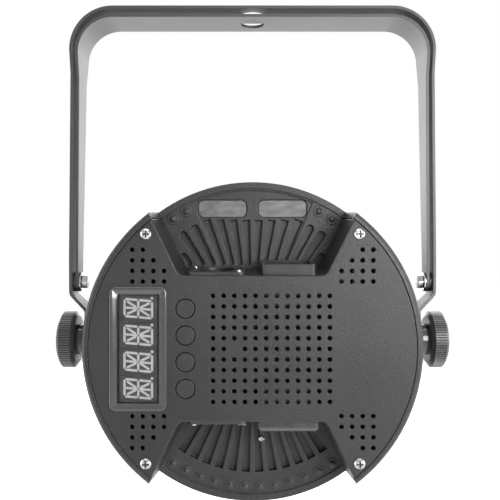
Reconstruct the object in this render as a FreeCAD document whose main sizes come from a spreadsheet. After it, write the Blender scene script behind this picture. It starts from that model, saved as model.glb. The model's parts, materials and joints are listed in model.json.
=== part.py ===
import FreeCAD, Part
import Sketcher
import math
import os
import re

# A slim LED par can on a double yoke, in millimetres.
# Row frame: the origin is the centre of the hanging hole at the top of the yoke's web,
# +Z is up, the beam leaves along +Y and the rear cover faces -Y.
# Head frame: the same directions, with its origin at the centre of the round body.

SIZES = [
    # the two straps of the yoke
    ("strap_thick", 1.6, "sheet steel of both straps"),
    ("strap_width", 26, "width of both webs"),
    ("yoke_half", 100.9, "centre plane to the outer face of the main yoke's leg, low down"),
    ("leg_lean", 1.8, "how far each leg leans out on its way down"),
    ("lean_end", 138, "web's top face down to the end of the lean"),
    ("yoke_corner", 23.5, "outer bend radius of the main yoke"),
    ("shoulder_drop", 36, "web's top face down to the main yoke's shoulder"),
    ("yoke_shoulder", 19, "width of the main yoke's leg below its corner"),
    ("yoke_waist", 14.4, "width of the main yoke's leg above its joggle"),
    ("tilt_drop", 182.4, "web's top face down to the tilt axis"),
    ("joggle_step", 8.9, "how far the lower leg steps inwards"),
    ("joggle_rise", 25.2, "tilt axis up to the start of the joggle"),
    ("joggle_bend", 2.4, "inner bend radius of the joggle"),
    ("eye_radius", 12, "round lower end of the main yoke's leg"),
    ("stand_gap", 1.5, "gap between the legs of the two yokes"),
    ("web_gap", 3, "gap between the webs of the two yokes"),
    ("stand_corner", 20.5, "outer bend radius of the stand yoke"),
    ("stand_drop", 34, "stand yoke's web down to its shoulder"),
    ("stand_shoulder", 18, "width of the stand yoke's leg below its corner"),
    ("stand_eye", 5.5, "round lower end of the stand yoke's leg"),
    ("hang_radius", 6.5, "hanging hole in both webs"),
    # the pivots of the stand yoke
    ("pivot_rise", 32.2, "tilt axis up to the stand yoke's pivot"),
    ("pivot_radius", 2, "stud pressed into the main yoke's leg"),
    ("pivot_fit", 0.06, "radial clearance of the stand yoke on its stud"),
    ("pivot_play", 0.1, "end play of the stand yoke on its stud"),
    ("spacer_radius", 5.3, "spacer and washer on the stud"),
    ("washer_thick", 1, "steel washer under the pivot nut"),
    ("nut_flats", 7, "pivot nut across flats"),
    ("nut_thick", 3.1, "pivot nut"),
    # the tilt knobs
    ("stud_radius", 3, "knob stud"),
    ("stud_fit", 0.05, "radial clearance of the stud in its insert"),
    ("stud_pass", 0.4, "radial clearance of the stud in strap and washer"),
    ("yoke_seat", 0.1, "gap between the lower leg and the body's side pad"),
    ("rubber_thick", 1.2, "rubber washer under the knob"),
    ("rubber_radius", 10, "rubber washer under the knob"),
    ("knob_play", 0.05, "gap between the rubber washer and the knob's hub"),
    ("hub_radius", 8.7, "knob's hub"),
    ("hub_length", 3.9, "knob's hub"),
    ("knob_radius", 15.6, "over the ridges of the grip"),
    ("knob_bevel", 1.6, "length of the cone behind the grip"),
    ("bevel_step", 2.6, "how far that cone steps inwards"),
    ("knob_grip", 6.6, "length of the ridged grip"),
    ("grip_bevel", 0.6, "outer edge of the grip"),
    ("cap_radius", 12.3, "bright cap pressed into the knob"),
    ("cap_proud", 1.6, "cap above the grip"),
    ("cap_seat", 1, "cap sunk into the knob"),
    ("cap_fit", 0.05, "radial clearance of the cap"),
    ("cap_round", 0.8, "rounding of the cap's edge"),
    ("knob_ridges", 72, "ridges round the grip"),
    ("ridge_depth", 0.55, "depth of the notch between two ridges"),
    ("ridge_share", 0.62, "share of a ridge's pitch that the notch takes"),
    ("insert_radius", 4.5, "brass insert in the side boss"),
    ("insert_length", 12, "brass insert in the side boss"),
    ("stud_short", 1, "stud ends before its insert does"),
    ("boss_radius", 9, "side boss round the insert"),
    ("boss_floor", 2, "side boss behind its insert"),
    ("pad_proud", 0.3, "side pad above the round wall"),
    # the round body
    ("body_drop", 1.8, "tilt axis down to the body's centre"),
    ("body_radius", 90, "outside of the round wall"),
    ("wall", 3.6, "round wall, and the rim band round the cover"),
    ("rear_depth", 26, "tilt axis back to the cover's face"),
    ("floor_depth", 4, "tilt axis forward to the recessed floor"),
    ("floor_thick", 4.5, "floor between the two chambers"),
    ("front_depth", 33, "tilt axis forward to the front bezel's seat"),
    ("rim_proud", 0.8, "low rim above the recessed floor"),
    ("rim_round", 3, "outer rounding of both rims"),
    ("wire_hole", 6, "radius of the wire hole in the floor"),
    # the rear cover and its two recesses
    ("cover_thick", 2.2, "cover plate"),
    ("cover_fit", 0.4, "radial clearance of the cover in the wall"),
    ("recess_edge", 38.1, "centre to the long edge of a recess"),
    ("recess_half", 38.5, "half the length of that edge"),
    ("recess_flare", 26.2, "angle of a recess's sides, from vertical"),
    ("recess_draft", 5.1, "draft of a recess's walls"),
    ("recess_corner", 5, "inner corners of a recess"),
    ("recess_wall", 2, "walls of a recess"),
    ("overcut", 1, "how far cutters start outside what they cut"),
    ("cutter_reach", 117, "recess cutters end well past the round wall"),
    ("edge_round", 0.8, "rounding of the cover's recess edge"),
    ("floor_play", 0.1, "gap between the recess walls and the floor"),
    ("vent_radius", 1.22, "round vent hole"),
    ("vent_pitch", 5.55, "vent hole to vent hole"),
    ("grid_columns", 12, "central vent field"),
    ("grid_rows", 11, "central vent field"),
    ("grid_offset", 9.8, "central vent field to the right of the centre"),
    ("patch_x", 46.4, "first column of a corner vent patch"),
    ("patch_z", 35.2, "first row of a corner vent patch"),
    ("screw_x", 55.9, "cover screw from the centre, sideways"),
    ("screw_z", 60, "cover screw from the centre, upwards"),
    ("post_radius", 3.5, "screw post in the housing"),
    ("screw_shank", 1.5, "screw shank radius"),
    ("screw_length", 8, "cover screw under its head"),
    ("tap_spare", 1, "screw hole beyond the screw's tip"),
    ("screw_head", 2.9, "pan head radius"),
    ("screw_rise", 1.9, "pan head height"),
    ("pan_flat", 0.62, "flat of a pan head, as a share of its radius"),
    ("pan_edge", 0.45, "edge of a pan head, as a share of its height"),
    ("cross_long", 1.3, "cross recess, as a share of the head's radius"),
    ("cross_wide", 0.28, "its arms' width, as a share of the head's radius"),
    ("cross_deep", 0.6, "its depth, as a share of the head's height"),
    # the recessed floor
    ("fin_step", 6, "angle from groove to groove"),
    ("fan_grooves", 6, "long grooves on each side of the middle"),
    ("groove_end", 73.9, "outer ends of the bottom grooves"),
    ("groove_start", 43, "straight line of the inner ends"),
    ("groove_wide", 4.7, "groove at its outer end"),
    ("groove_narrow", 2.6, "groove at its inner end"),
    ("groove_deep", 3.5, "groove depth"),
    ("fan_top", 68.6, "straight line of the top grooves' outer ends"),
    ("fan_angle", 23.5, "half angle of the stepped top sector"),
    ("fan_step", 0.8, "depth of the stepped top sector"),
    ("fan_margin", 1, "stepped sector ends before the round wall"),
    ("dimple_circle", 82.6, "centres of the dimples"),
    ("dimple_radius", 3.2, "ring of a dimple"),
    ("dimple_rise", 0.3, "ring of a dimple above the floor"),
    ("bump_radius", 2, "bump in a dimple"),
    ("bump_rise", 0.9, "bump above its ring"),
    ("label_wide", 26.8, "blank label plate"),
    ("label_tall", 9.3, "blank label plate"),
    ("label_x", 17, "label plate from the centre, sideways"),
    ("label_z", 75.1, "label plate from the centre, upwards"),
    ("label_corner", 3, "corner of a label plate"),
    ("label_thick", 0.5, "label plate"),
    ("label_sink", 1, "depth of its pocket"),
    ("label_fit", 0.45, "gap round a label plate"),
    ("earth_x", 5.1, "earth screw, sideways"),
    ("earth_z", 54.9, "earth screw, downwards"),
    ("earth_head", 1.6, "head radius of the small screws"),
    ("earth_rise", 0.96, "head height of the small screws"),
    ("earth_length", 3, "earth screw in the floor"),
    # display and buttons on the cover
    ("display_x", 59.9, "display to the left of the centre"),
    ("display_wide", 30, "outside of the display bezel"),
    ("display_tall", 65, "outside of the display bezel"),
    ("display_corner", 3.5, "corner of the display bezel"),
    ("bezel_proud", 1.3, "display bezel above the cover"),
    ("bezel_border", 1.6, "flat crest of the display bezel"),
    ("bezel_slope", 2.7, "inner slope of the display bezel"),
    ("slope_angle", 69, "lean of that slope, degrees"),
    ("bezel_round", 0.78, "outer edge of the display bezel"),
    ("bezel_neck", 1.2, "step from the bezel's rim to its neck"),
    ("bezel_behind", 1.5, "neck behind the cover"),
    ("window_corner", 1, "corner of the bezel's window"),
    ("pane_ledge", 1, "clear pane's edge behind the bezel"),
    ("pane_fit", 0.1, "gap round the clear pane"),
    ("pane_sink", 1, "clear pane below the bezel's crest"),
    ("pane_thick", 1, "clear pane"),
    ("digit_pitch", 14, "digit to digit, button to button"),
    ("digit_wide", 13.8, "digit module along the row"),
    ("digit_tall", 19.8, "digit module across the row"),
    ("digit_deep", 8, "digit module"),
    ("button_x", 35.2, "buttons to the left of the centre"),
    ("button_radius", 4.85, "button cap"),
    ("button_gap", 0.45, "gap round a button cap"),
    ("button_length", 8.2, "button cap and its stem"),
    ("button_round", 0.4, "edge of a button cap"),
    ("button_flange", 5.9, "radius of the flange behind the cover"),
    ("button_slack", 0.3, "that flange behind the cover's inner face"),
    ("button_disc", 1, "thickness of that flange"),
    ("button_travel", 0.8, "press of a button"),
    ("switch_side", 6, "tact switch"),
    ("switch_body", 3.5, "tact switch height"),
    ("plunger_radius", 1.68, "tact switch plunger"),
    ("plunger_rise", 0.8, "plunger above its case"),
    # boards and what stands on them
    ("board_thick", 1.6, "circuit boards"),
    ("board_play", 0.1, "boards above their seats"),
    ("control_left", 79.5, "control board's outer end from the centre"),
    ("control_right", 32, "control board's inner end from the centre"),
    ("control_half", 30, "half the control board's height"),
    ("control_post", 2, "posts of the control board, under the cover"),
    ("control_post_out", 76.8, "outer posts from the centre, sideways"),
    ("control_post_in", 43.6, "inner posts from the centre, sideways"),
    ("control_post_up", 24, "posts from the centre, upwards"),
    ("supply_left", 42, "supply board's inner end from the centre"),
    ("supply_right", 71, "supply board's outer end from the centre"),
    ("supply_half", 37, "half the supply board's height"),
    ("standoff_radius", 2.5, "board standoffs"),
    ("standoff_inset", 4, "standoff from the board's edges"),
    ("supply_standoff", 4, "supply board above the floor"),
    ("core_wide", 22, "transformer core"),
    ("core_tall", 26, "transformer core"),
    ("core_rise", 15, "transformer core above the board"),
    ("coil_rise", 17, "transformer winding above the board"),
    ("coil_share", 0.7, "winding's width and height, as a share of the core's"),
    ("can_radius", 4.8, "capacitor"),
    ("can_rise", 15, "capacitor above the board"),
    ("can_up", 22, "capacitors from the centre, upwards"),
    ("can_gap", 1, "capacitor from the board's middle line"),
    ("fuse_wide", 6, "fuse clip"),
    ("fuse_long", 20, "fuse clip"),
    ("fuse_glass", 2.6, "fuse radius"),
    ("fuse_edge", 1, "fuse clip from the board's end"),
    ("fuse_short", 1.5, "fuse ends before its clip does"),
    # light engine
    ("led_pitch", 12, "ring to ring of the lamps"),
    ("led_rings", 6, "rings of lamps round the middle one"),
    ("led_radius", 5, "lamp dome"),
    ("led_round", 4.8, "rounding of a lamp's dome"),
    ("led_flange", 0.6, "flange of a lamp beyond its dome"),
    ("led_base", 1.5, "thickness of that flange"),
    ("led_length", 13, "lamp above its board"),
    ("led_fit", 0.25, "gap round a lamp in the mask"),
    ("led_show", 2.6, "lamps above the mask's face"),
    ("mask_thick", 1.5, "lamp mask"),
    ("mask_seat", 1.8, "ledge under the mask"),
    ("mask_fit", 0.1, "radial clearance of the mask"),
    ("led_board_radius", 78.2, "lamp board"),
    ("bezel_depth", 4, "front bezel"),
    ("bezel_lip", 78.6, "inner radius of the front bezel"),
    ("front_round", 2.4, "outer edge of the front bezel"),
    ("lip_chamfer", 1.2, "inner edge of the front bezel"),
    ("front_screws", 6, "front bezel screws"),
    ("front_screw_circle", 82.6, "front bezel screws' circle"),
    ("front_screw_turn", 30, "first front screw from the top, degrees"),
    ("led_posts", 3, "standoffs of the lamp board"),
    ("led_post_circle", 42, "their circle"),
    # connectors on the recess walls
    ("dmx_in_x", 19.4, "signal input to the left of the centre"),
    ("dmx_out_x", 18.7, "signal output to the left of the centre"),
    ("mains_in_x", 19.2, "power inlet to the right of the centre"),
    ("mains_out_x", 19, "power outlet to the right of the centre"),
    ("flange_wide", 31, "signal connector's flange"),
    ("flange_tall", 26, "signal connector's flange"),
    ("flange_thick", 1.6, "signal connector's flange"),
    ("flange_corner", 3, "corner of that flange"),
    ("barrel_radius", 10.2, "signal connector behind the wall"),
    ("barrel_length", 22, "signal connector behind the wall"),
    ("barrel_bore", 9.4, "inside of the signal input"),
    ("plug_depth", 14, "depth of the plug's space in both signal connectors"),
    ("core_radius", 7.9, "inner core of the signal output"),
    ("pin_radius", 1.2, "signal pin"),
    ("pin_circle", 4.4, "centres of the signal pins"),
    ("pin_length", 12.5, "signal pin"),
    ("pin_fit", 0.2, "socket hole round a pin"),
    ("flange_screw_x", 12.2, "flange screw from the connector's axis"),
    ("flange_screw_y", 9.6, "flange screw from the connector's axis"),
    ("latch_x", 13.1, "latch tab from the connector's axis"),
    ("latch_wide", 4.4, "latch tab"),
    ("latch_tall", 8, "latch tab"),
    ("latch_rise", 1.9, "latch tab above the flange"),
    ("latch_travel", 1.2, "press of the latch tab"),
    ("latch_gap", 0.3, "gap round the latch tab"),
    ("mains_tall", 23, "power connectors"),
    ("inlet_wide", 29, "power inlet"),
    ("outlet_wide", 33, "power outlet"),
    ("mains_proud", 5.6, "power connectors above the recess wall"),
    ("mains_deep", 19, "power connectors behind the recess wall"),
    ("inlet_room_wide", 24, "plug's space in the power inlet"),
    ("inlet_room_tall", 16.6, "plug's space in the power inlet"),
    ("inlet_room_deep", 16, "plug's space in the power inlet"),
    ("blade_wide", 2, "power inlet blade"),
    ("blade_tall", 4.5, "power inlet blade"),
    ("blade_pitch", 7, "blade to blade"),
    ("blade_length", 14, "power inlet blade"),
    ("shell_corner", 2, "corners of the power connectors"),
    ("outlet_chamfer", 2, "outer edges of the power outlet"),
    ("moat_out", 0.5, "outlet's moat beyond the inlet's room"),
    ("moat_in", 1, "outlet's moat inside the inlet's room"),
    ("wall_fit", 0.15, "connectors in the cut-outs of the recess walls"),
]

names = [row[0] for row in SIZES]
finished = []
doc = FreeCAD.newDocument("par_can")
sheet = doc.addObject("Spreadsheet::Sheet", "Sizes")
for number, (alias, value, meaning) in enumerate(SIZES, start=1):
    sheet.set(f"A{number}", meaning)
    sheet.set(f"B{number}", str(value))
    sheet.setAlias(f"B{number}", alias)
doc.recompute()

# Places that several pieces share, each a formula on the sheet.
BODY_Z = "-(tilt_drop + body_drop)"
LEG_IN = "(yoke_half - strap_thick)"
STAND_OUT = f"({LEG_IN} - stand_gap)"
STAND_IN = f"({STAND_OUT} - strap_thick)"
STAND_TOP = "-(strap_thick + web_gap)"
PIVOT_Z = "-(tilt_drop - pivot_rise)"
LOWER_OUT = "(yoke_half - joggle_step)"
LOWER_IN = f"({LOWER_OUT} - strap_thick)"
KNOB_AT = f"({LOWER_OUT} + rubber_thick + knob_play)"
PAD_AT = f"({LOWER_IN} - yoke_seat)"
FLOOR_FRONT = "(floor_depth + floor_thick)"
COVER_INSIDE = "-(rear_depth - cover_thick)"
MASK_BACK = "(front_depth - mask_thick)"
LED_TOP = "(front_depth + led_show)"
LED_BOARD_FRONT = f"({LED_TOP} - led_length)"
LED_BOARD_BACK = f"({LED_BOARD_FRONT} - board_thick)"
SUPPLY_BACK = "(floor_depth - supply_standoff - board_thick)"
BUTTON_END = "(-rear_depth + button_length)"
SWITCH_TOP = f"({BUTTON_END} + button_travel + board_play)"
CONTROL_BACK = f"({SWITCH_TOP} + switch_body)"
PANE_BACK = "(-(rear_depth + bezel_proud) + pane_sink + pane_thick)"
WALL_MID_Y = "(floor_depth - rear_depth) / 2"
WALL_MID_Z = "(recess_edge + ((floor_depth + rear_depth) / 2 + overcut) * tan(recess_draft))"
EYE_OPEN = "(stud_radius + stud_pass)"


def bound(text):
    """A formula on the sheet's words, as FreeCAD's expressions write it."""
    linked = re.sub(r"\b(" + "|".join(names) + r")\b", r"Sizes.\1", text)
    return re.sub(r"(tan|cos)\(([^()]*)\)", r"\1(\2 * 1 deg)", linked)


def size(text):
    """The number that a formula on the sheet gives."""
    return float(sheet.evalExpression(bound(text)))


def bind(item, **formulas):
    """Binds properties to formulas; a double underscore stands for a dot."""
    for key, text in formulas.items():
        item.setExpression(key.replace("__", "."), bound(str(text)))
    return item


UPRIGHT = FreeCAD.Rotation()
TURNS = {
    "z": UPRIGHT,
    "y": FreeCAD.Rotation(FreeCAD.Vector(1, 0, 0), -90),
    "x": FreeCAD.Rotation(FreeCAD.Vector(0, 1, 0), 90),
}


def put(item, at=("0", "0", "0"), turn=UPRIGHT):
    """Turns an object and binds its place."""
    item.Placement = FreeCAD.Placement(FreeCAD.Vector(), turn)
    return bind(item, Placement__Base__x=at[0], Placement__Base__y=at[1], Placement__Base__z=at[2])


def rod(name, radius, length, at=("0", "0", "0"), along="z"):
    """A round bar that starts at a point and runs along an axis."""
    item = doc.addObject("Part::Cylinder", name)
    bind(item, Radius=radius, Height=length)
    return put(item, at, TURNS[along])


def block(name, span, at):
    """A box of a given span, from its lowest corner."""
    item = doc.addObject("Part::Box", name)
    bind(item, Length=span[0], Width=span[1], Height=span[2])
    return put(item, at)


def join(name, pieces):
    """Pieces fused into one; a single piece is only wrapped, to get a place of its own."""
    if len(pieces) == 1:
        item = doc.addObject("Part::Compound", name)
        item.Links = pieces
        return item
    item = doc.addObject("Part::MultiFuse", name)
    item.Shapes = pieces
    item.Refine = True
    return item


def cut(name, base, tools):
    tool = tools[0] if len(tools) == 1 else join(name + "_tools", tools)
    item = doc.addObject("Part::Cut", name)
    item.Base = base
    item.Tool = tool
    return item


def common(name, first, second):
    item = doc.addObject("Part::Common", name)
    item.Base = first
    item.Tool = second
    return item


def plane_of(body, role):
    return next(item for item in body.Origin.OriginFeatures if item.Role == role)


def outline(body, role, corners, name):
    """A closed sketch of straight edges with every corner bound to the sheet."""
    sketch = body.newObject("Sketcher::SketchObject", name)
    sketch.AttachmentSupport = [(plane_of(body, role), "")]
    sketch.MapMode = "FlatFace"
    places = [FreeCAD.Vector(size(across), size(up), 0) for across, up in corners]
    count = len(corners)
    for index in range(count):
        sketch.addGeometry(Part.LineSegment(places[index], places[(index + 1) % count]), False)
    for index in range(count):
        sketch.addConstraint(Sketcher.Constraint("Coincident", index, 2, (index + 1) % count, 1))
    for index, (across, up) in enumerate(corners):
        for kind, text, place in (("DistanceX", across, places[index].x),
                                  ("DistanceY", up, places[index].y)):
            if text == "0":
                axis = -2 if kind == "DistanceX" else -1
                sketch.addConstraint(Sketcher.Constraint("PointOnObject", index, 1, axis))
            else:
                made = sketch.addConstraint(Sketcher.Constraint(kind, -1, 1, index, 1, place))
                sketch.setExpression(f"Constraints[{made}]", bound(text))
    return sketch


def slab(name, corners, start, length, role="XZ_Plane", taper=None):
    """An outline in X and Z (or in Y and Z) padded along +Y (or along +X) from a plane."""
    body = doc.addObject("PartDesign::Body", name)
    sketch = outline(body, role, corners, name + "_outline")
    backwards = role == "XZ_Plane"
    bind(sketch, AttachmentOffset__Base__z=f"-({start})" if backwards else start)
    pad = body.newObject("PartDesign::Pad", name + "_pad")
    pad.Profile = sketch
    pad.Reversed = backwards
    bind(pad, Length=length)
    if taper:
        bind(pad, TaperAngle=taper)
    sketch.Visibility = False
    body.Tip = pad
    return body


def turned(name, profile):
    """A profile of radius and length turned round the Y axis."""
    body = doc.addObject("PartDesign::Body", name)
    sketch = outline(body, "XY_Plane", profile, name + "_profile")
    turn = body.newObject("PartDesign::Revolution", name + "_turn")
    turn.Profile = sketch
    turn.ReferenceAxis = (sketch, ["V_Axis"])
    turn.Angle = 360
    body.Tip = turn
    return body


def tube_profile(inner, outer, start, end):
    return [(inner, start), (outer, start), (outer, end), (inner, end)]


def soften(body, kind, amount, chosen, name):
    """A Fillet or Chamfer on the edges of a body that a test picks."""
    doc.recompute()
    base = body.Tip
    edges = [f"Edge{number}" for number, edge in enumerate(base.Shape.Edges, start=1) if chosen(edge)]
    item = body.newObject("PartDesign::" + kind, name)
    item.Base = (base, edges)
    if kind == "Fillet":
        bind(item, Radius=amount)
    else:
        bind(item, Size=amount)
    body.Tip = item
    return body


# a shape's box is a little larger than the shape
BOX_SLACK = 1e-3


def near(number, other, slack=1e-4):
    return abs(number - other) < slack


def ring_at(radius, along):
    """Picks the circles of one radius at one place along the Y axis."""
    def chosen(edge):
        if not isinstance(edge.Curve, Part.Circle):
            return False
        return near(edge.Curve.Radius, size(radius)) and near(edge.Curve.Center.y, size(along))
    return chosen


def bends_at(corners):
    """Picks the edges along Y at given places in X and Z."""
    spots = [(size(across), size(up)) for across, up in corners]

    def chosen(edge):
        first, last = edge.Vertexes[0].Point, edge.Vertexes[-1].Point
        straight = near(first.x, last.x) and near(first.z, last.z) and not near(first.y, last.y)
        return straight and any(near(first.x, x) and near(first.z, z) for x, z in spots)
    return chosen


def label(item, name, at=("0", "0", BODY_Z), turn=UPRIGHT):
    """Names a finished sub-part and puts it in the row frame."""
    item.Label = name
    put(item, at, turn)
    finished.append(item)
    return item


def group(name, shapes, at=("0", "0", BODY_Z)):
    """Copies of one small piece as one sub-part of separate solids."""
    item = doc.addObject("Part::Feature", name + "_group")
    item.Shape = Part.makeCompound(shapes)
    return label(item, name, at)


def copies(master, places, turn=UPRIGHT):
    """The solid of a piece, repeated at places in the head frame."""
    doc.recompute()
    solids = []
    for place in places:
        solid = master.Shape.copy()
        solid.Placement = FreeCAD.Placement(FreeCAD.Vector(*place), turn).multiply(solid.Placement)
        solids.append(solid)
    return solids


def rounded_slab(name, wide, tall, start, length, corner, middle=("0", "0")):
    """A rectangle with round corners, padded along +Y."""
    across, up = middle
    left, right = f"{across} - {wide} / 2", f"{across} + {wide} / 2"
    low, high = f"{up} - {tall} / 2", f"{up} + {tall} / 2"
    corners = [(left, low), (right, low), (right, high), (left, high)]
    body = slab(name, corners, start, length)
    return soften(body, "Fillet", corner, bends_at(corners), name + "_corners")


# ---- the yokes ----

def strap(name, path_out, path_in, bends_out, bends_in):
    """A bent strap: a sharp outline padded across its width, then bent by fillets."""
    corners = path_out + path_in[::-1]
    body = slab(name, corners, "-strap_width / 2", "strap_width")
    for number, (spots, radius) in enumerate(bends_out + bends_in):
        soften(body, "Fillet", radius, bends_at(spots), f"{name}_bend{number}")
    return body


def both_sides(half):
    """A half path from a leg's foot to the middle, with its mirror image."""
    return half + [(across[1:], up) for across, up in half[::-1]]


def twin(path, number):
    """The same corner of a strap's path on both sides."""
    return [path[number], path[-1 - number]]


def strap_holes(name, top, foot_z, foot_radius):
    """The hanging hole in the web and one hole at the foot of each leg."""
    hang = rod(name + "_hang", "hang_radius", "strap_thick + 2 * overcut",
               ("0", "0", f"{top} - strap_thick - overcut"))
    foot = rod(name + "_foot", foot_radius, "yoke_half * 2", ("-yoke_half", "0", foot_z), "x")
    return [hang, foot]


def strap_view(name, half_outline, foot_radius, foot_z):
    """What a strap keeps as seen from its side: a tapering blade with a round end."""
    mirrored = [(across[1:], up) for across, up in half_outline[::-1]]
    blade = slab(name + "_side", half_outline + mirrored, "-yoke_half", "yoke_half * 2", role="YZ_Plane")
    eye = rod(name + "_eyes", foot_radius, "yoke_half * 2", ("-yoke_half", "0", foot_z), "x")
    return join(name + "_view", [blade, eye])


JOGGLE_TOP = "-(tilt_drop - joggle_rise)"
JOGGLE_END = "-(tilt_drop - joggle_rise + joggle_step)"


def make_main_yoke():
    foot = "-(tilt_drop + eye_radius)"
    # the joggle runs at 45 degrees, so its inner corners sit higher than its outer ones
    shift = "strap_thick * tan(22.5)"
    out_half = [("-" + LOWER_OUT, foot), ("-" + LOWER_OUT, JOGGLE_END), ("-yoke_half", JOGGLE_TOP),
                ("-yoke_half", "-lean_end"), ("-(yoke_half - leg_lean)", "0")]
    in_half = [("-" + LOWER_IN, foot), ("-" + LOWER_IN, f"{JOGGLE_END} + {shift}"),
               ("-" + LEG_IN, f"{JOGGLE_TOP} + {shift}"), ("-" + LEG_IN, "-lean_end"),
               (f"-({LEG_IN} - leg_lean)", "-strap_thick")]
    path_out, path_in = both_sides(out_half), both_sides(in_half)
    body = strap("main_strap", path_out, path_in,
                 [(twin(path_out, 4), "yoke_corner"),
                  (twin(path_out, 2) + twin(path_in, 1), "joggle_bend + strap_thick"),
                  (twin(path_out, 1) + twin(path_in, 2), "joggle_bend")],
                 [(twin(path_in, 4), "yoke_corner - strap_thick")])
    side = [("-strap_width / 2", "overcut"), ("-strap_width / 2", "-yoke_corner"),
            ("-yoke_shoulder / 2", "-shoulder_drop"), ("-yoke_waist / 2", JOGGLE_TOP),
            ("-eye_radius", "-tilt_drop")]
    shaped = common("main_shaped", body, strap_view("main", side, "eye_radius", "-tilt_drop"))
    pivots = rod("main_pivots", "pivot_radius", "yoke_half * 2", ("-yoke_half", "0", PIVOT_Z), "x")
    holes = strap_holes("main", "0", "-tilt_drop", EYE_OPEN)
    label(cut("main_drilled", shaped, holes + [pivots]), "main_yoke", at=("0", "0", "0"))


def make_stand_yoke():
    foot = f"{PIVOT_Z} - stand_eye"
    out_half = [("-" + STAND_OUT, foot), ("-" + STAND_OUT, "-lean_end"),
                (f"-({STAND_OUT} - leg_lean)", STAND_TOP)]
    in_half = [("-" + STAND_IN, foot), ("-" + STAND_IN, "-lean_end"),
               (f"-({STAND_IN} - leg_lean)", f"{STAND_TOP} - strap_thick")]
    path_out, path_in = both_sides(out_half), both_sides(in_half)
    body = strap("stand_strap", path_out, path_in,
                 [(twin(path_out, 2), "stand_corner")],
                 [(twin(path_in, 2), "stand_corner - strap_thick")])
    side = [("-strap_width / 2", "overcut"), ("-strap_width / 2", f"{STAND_TOP} - stand_corner"),
            ("-stand_shoulder / 2", f"{STAND_TOP} - stand_drop"), ("-stand_eye", PIVOT_Z)]
    shaped = common("stand_shaped", body, strap_view("stand", side, "stand_eye", PIVOT_Z))
    holes = strap_holes("stand", STAND_TOP, PIVOT_Z, "pivot_radius + pivot_fit")
    label(cut("stand_drilled", shaped, holes), "stand_yoke", at=("0", "0", "0"))


SIDES = {"left": FreeCAD.Rotation(FreeCAD.Vector(0, 0, 1), 90),
         "right": FreeCAD.Rotation(FreeCAD.Vector(0, 0, 1), -90)}


def side_pair(name, master, height):
    """One piece on each side, turned so that its Y axis points outwards."""
    shapes = []
    for turn in SIDES.values():
        shapes += copies(master, [(0, 0, 0)], turn)
    group(name, shapes, at=("0", "0", height))


def make_pivots():
    washer_at = f"({STAND_IN} - pivot_play - washer_thick)"
    nut_at = f"({washer_at} - nut_thick)"
    stud = turned("pivot_stud",
                  [("0", nut_at), ("pivot_radius", nut_at), ("pivot_radius", "yoke_half"),
                   ("0", "yoke_half")])
    side_pair("pivot_studs", stud, PIVOT_Z)
    spacer = turned("pivot_spacer",
                    tube_profile("pivot_radius", "spacer_radius", f"{STAND_OUT} + pivot_play", LEG_IN))
    side_pair("pivot_spacers", spacer, PIVOT_Z)
    washer = turned("pivot_washer",
                    tube_profile("pivot_radius", "spacer_radius", washer_at, f"{washer_at} + washer_thick"))
    side_pair("pivot_washers", washer, PIVOT_Z)
    prism = doc.addObject("Part::Prism", "nut_prism")
    prism.Polygon = 6
    bind(prism, Circumradius="nut_flats / 2 / cos(30)", Height="nut_thick")
    put(prism, ("0", nut_at, "0"), TURNS["y"])
    bore = rod("nut_bore", "pivot_radius", "nut_thick", ("0", nut_at, "0"), "y")
    side_pair("pivot_nuts", cut("pivot_nut", prism, [bore]), PIVOT_Z)


# ---- the knobs ----

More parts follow.
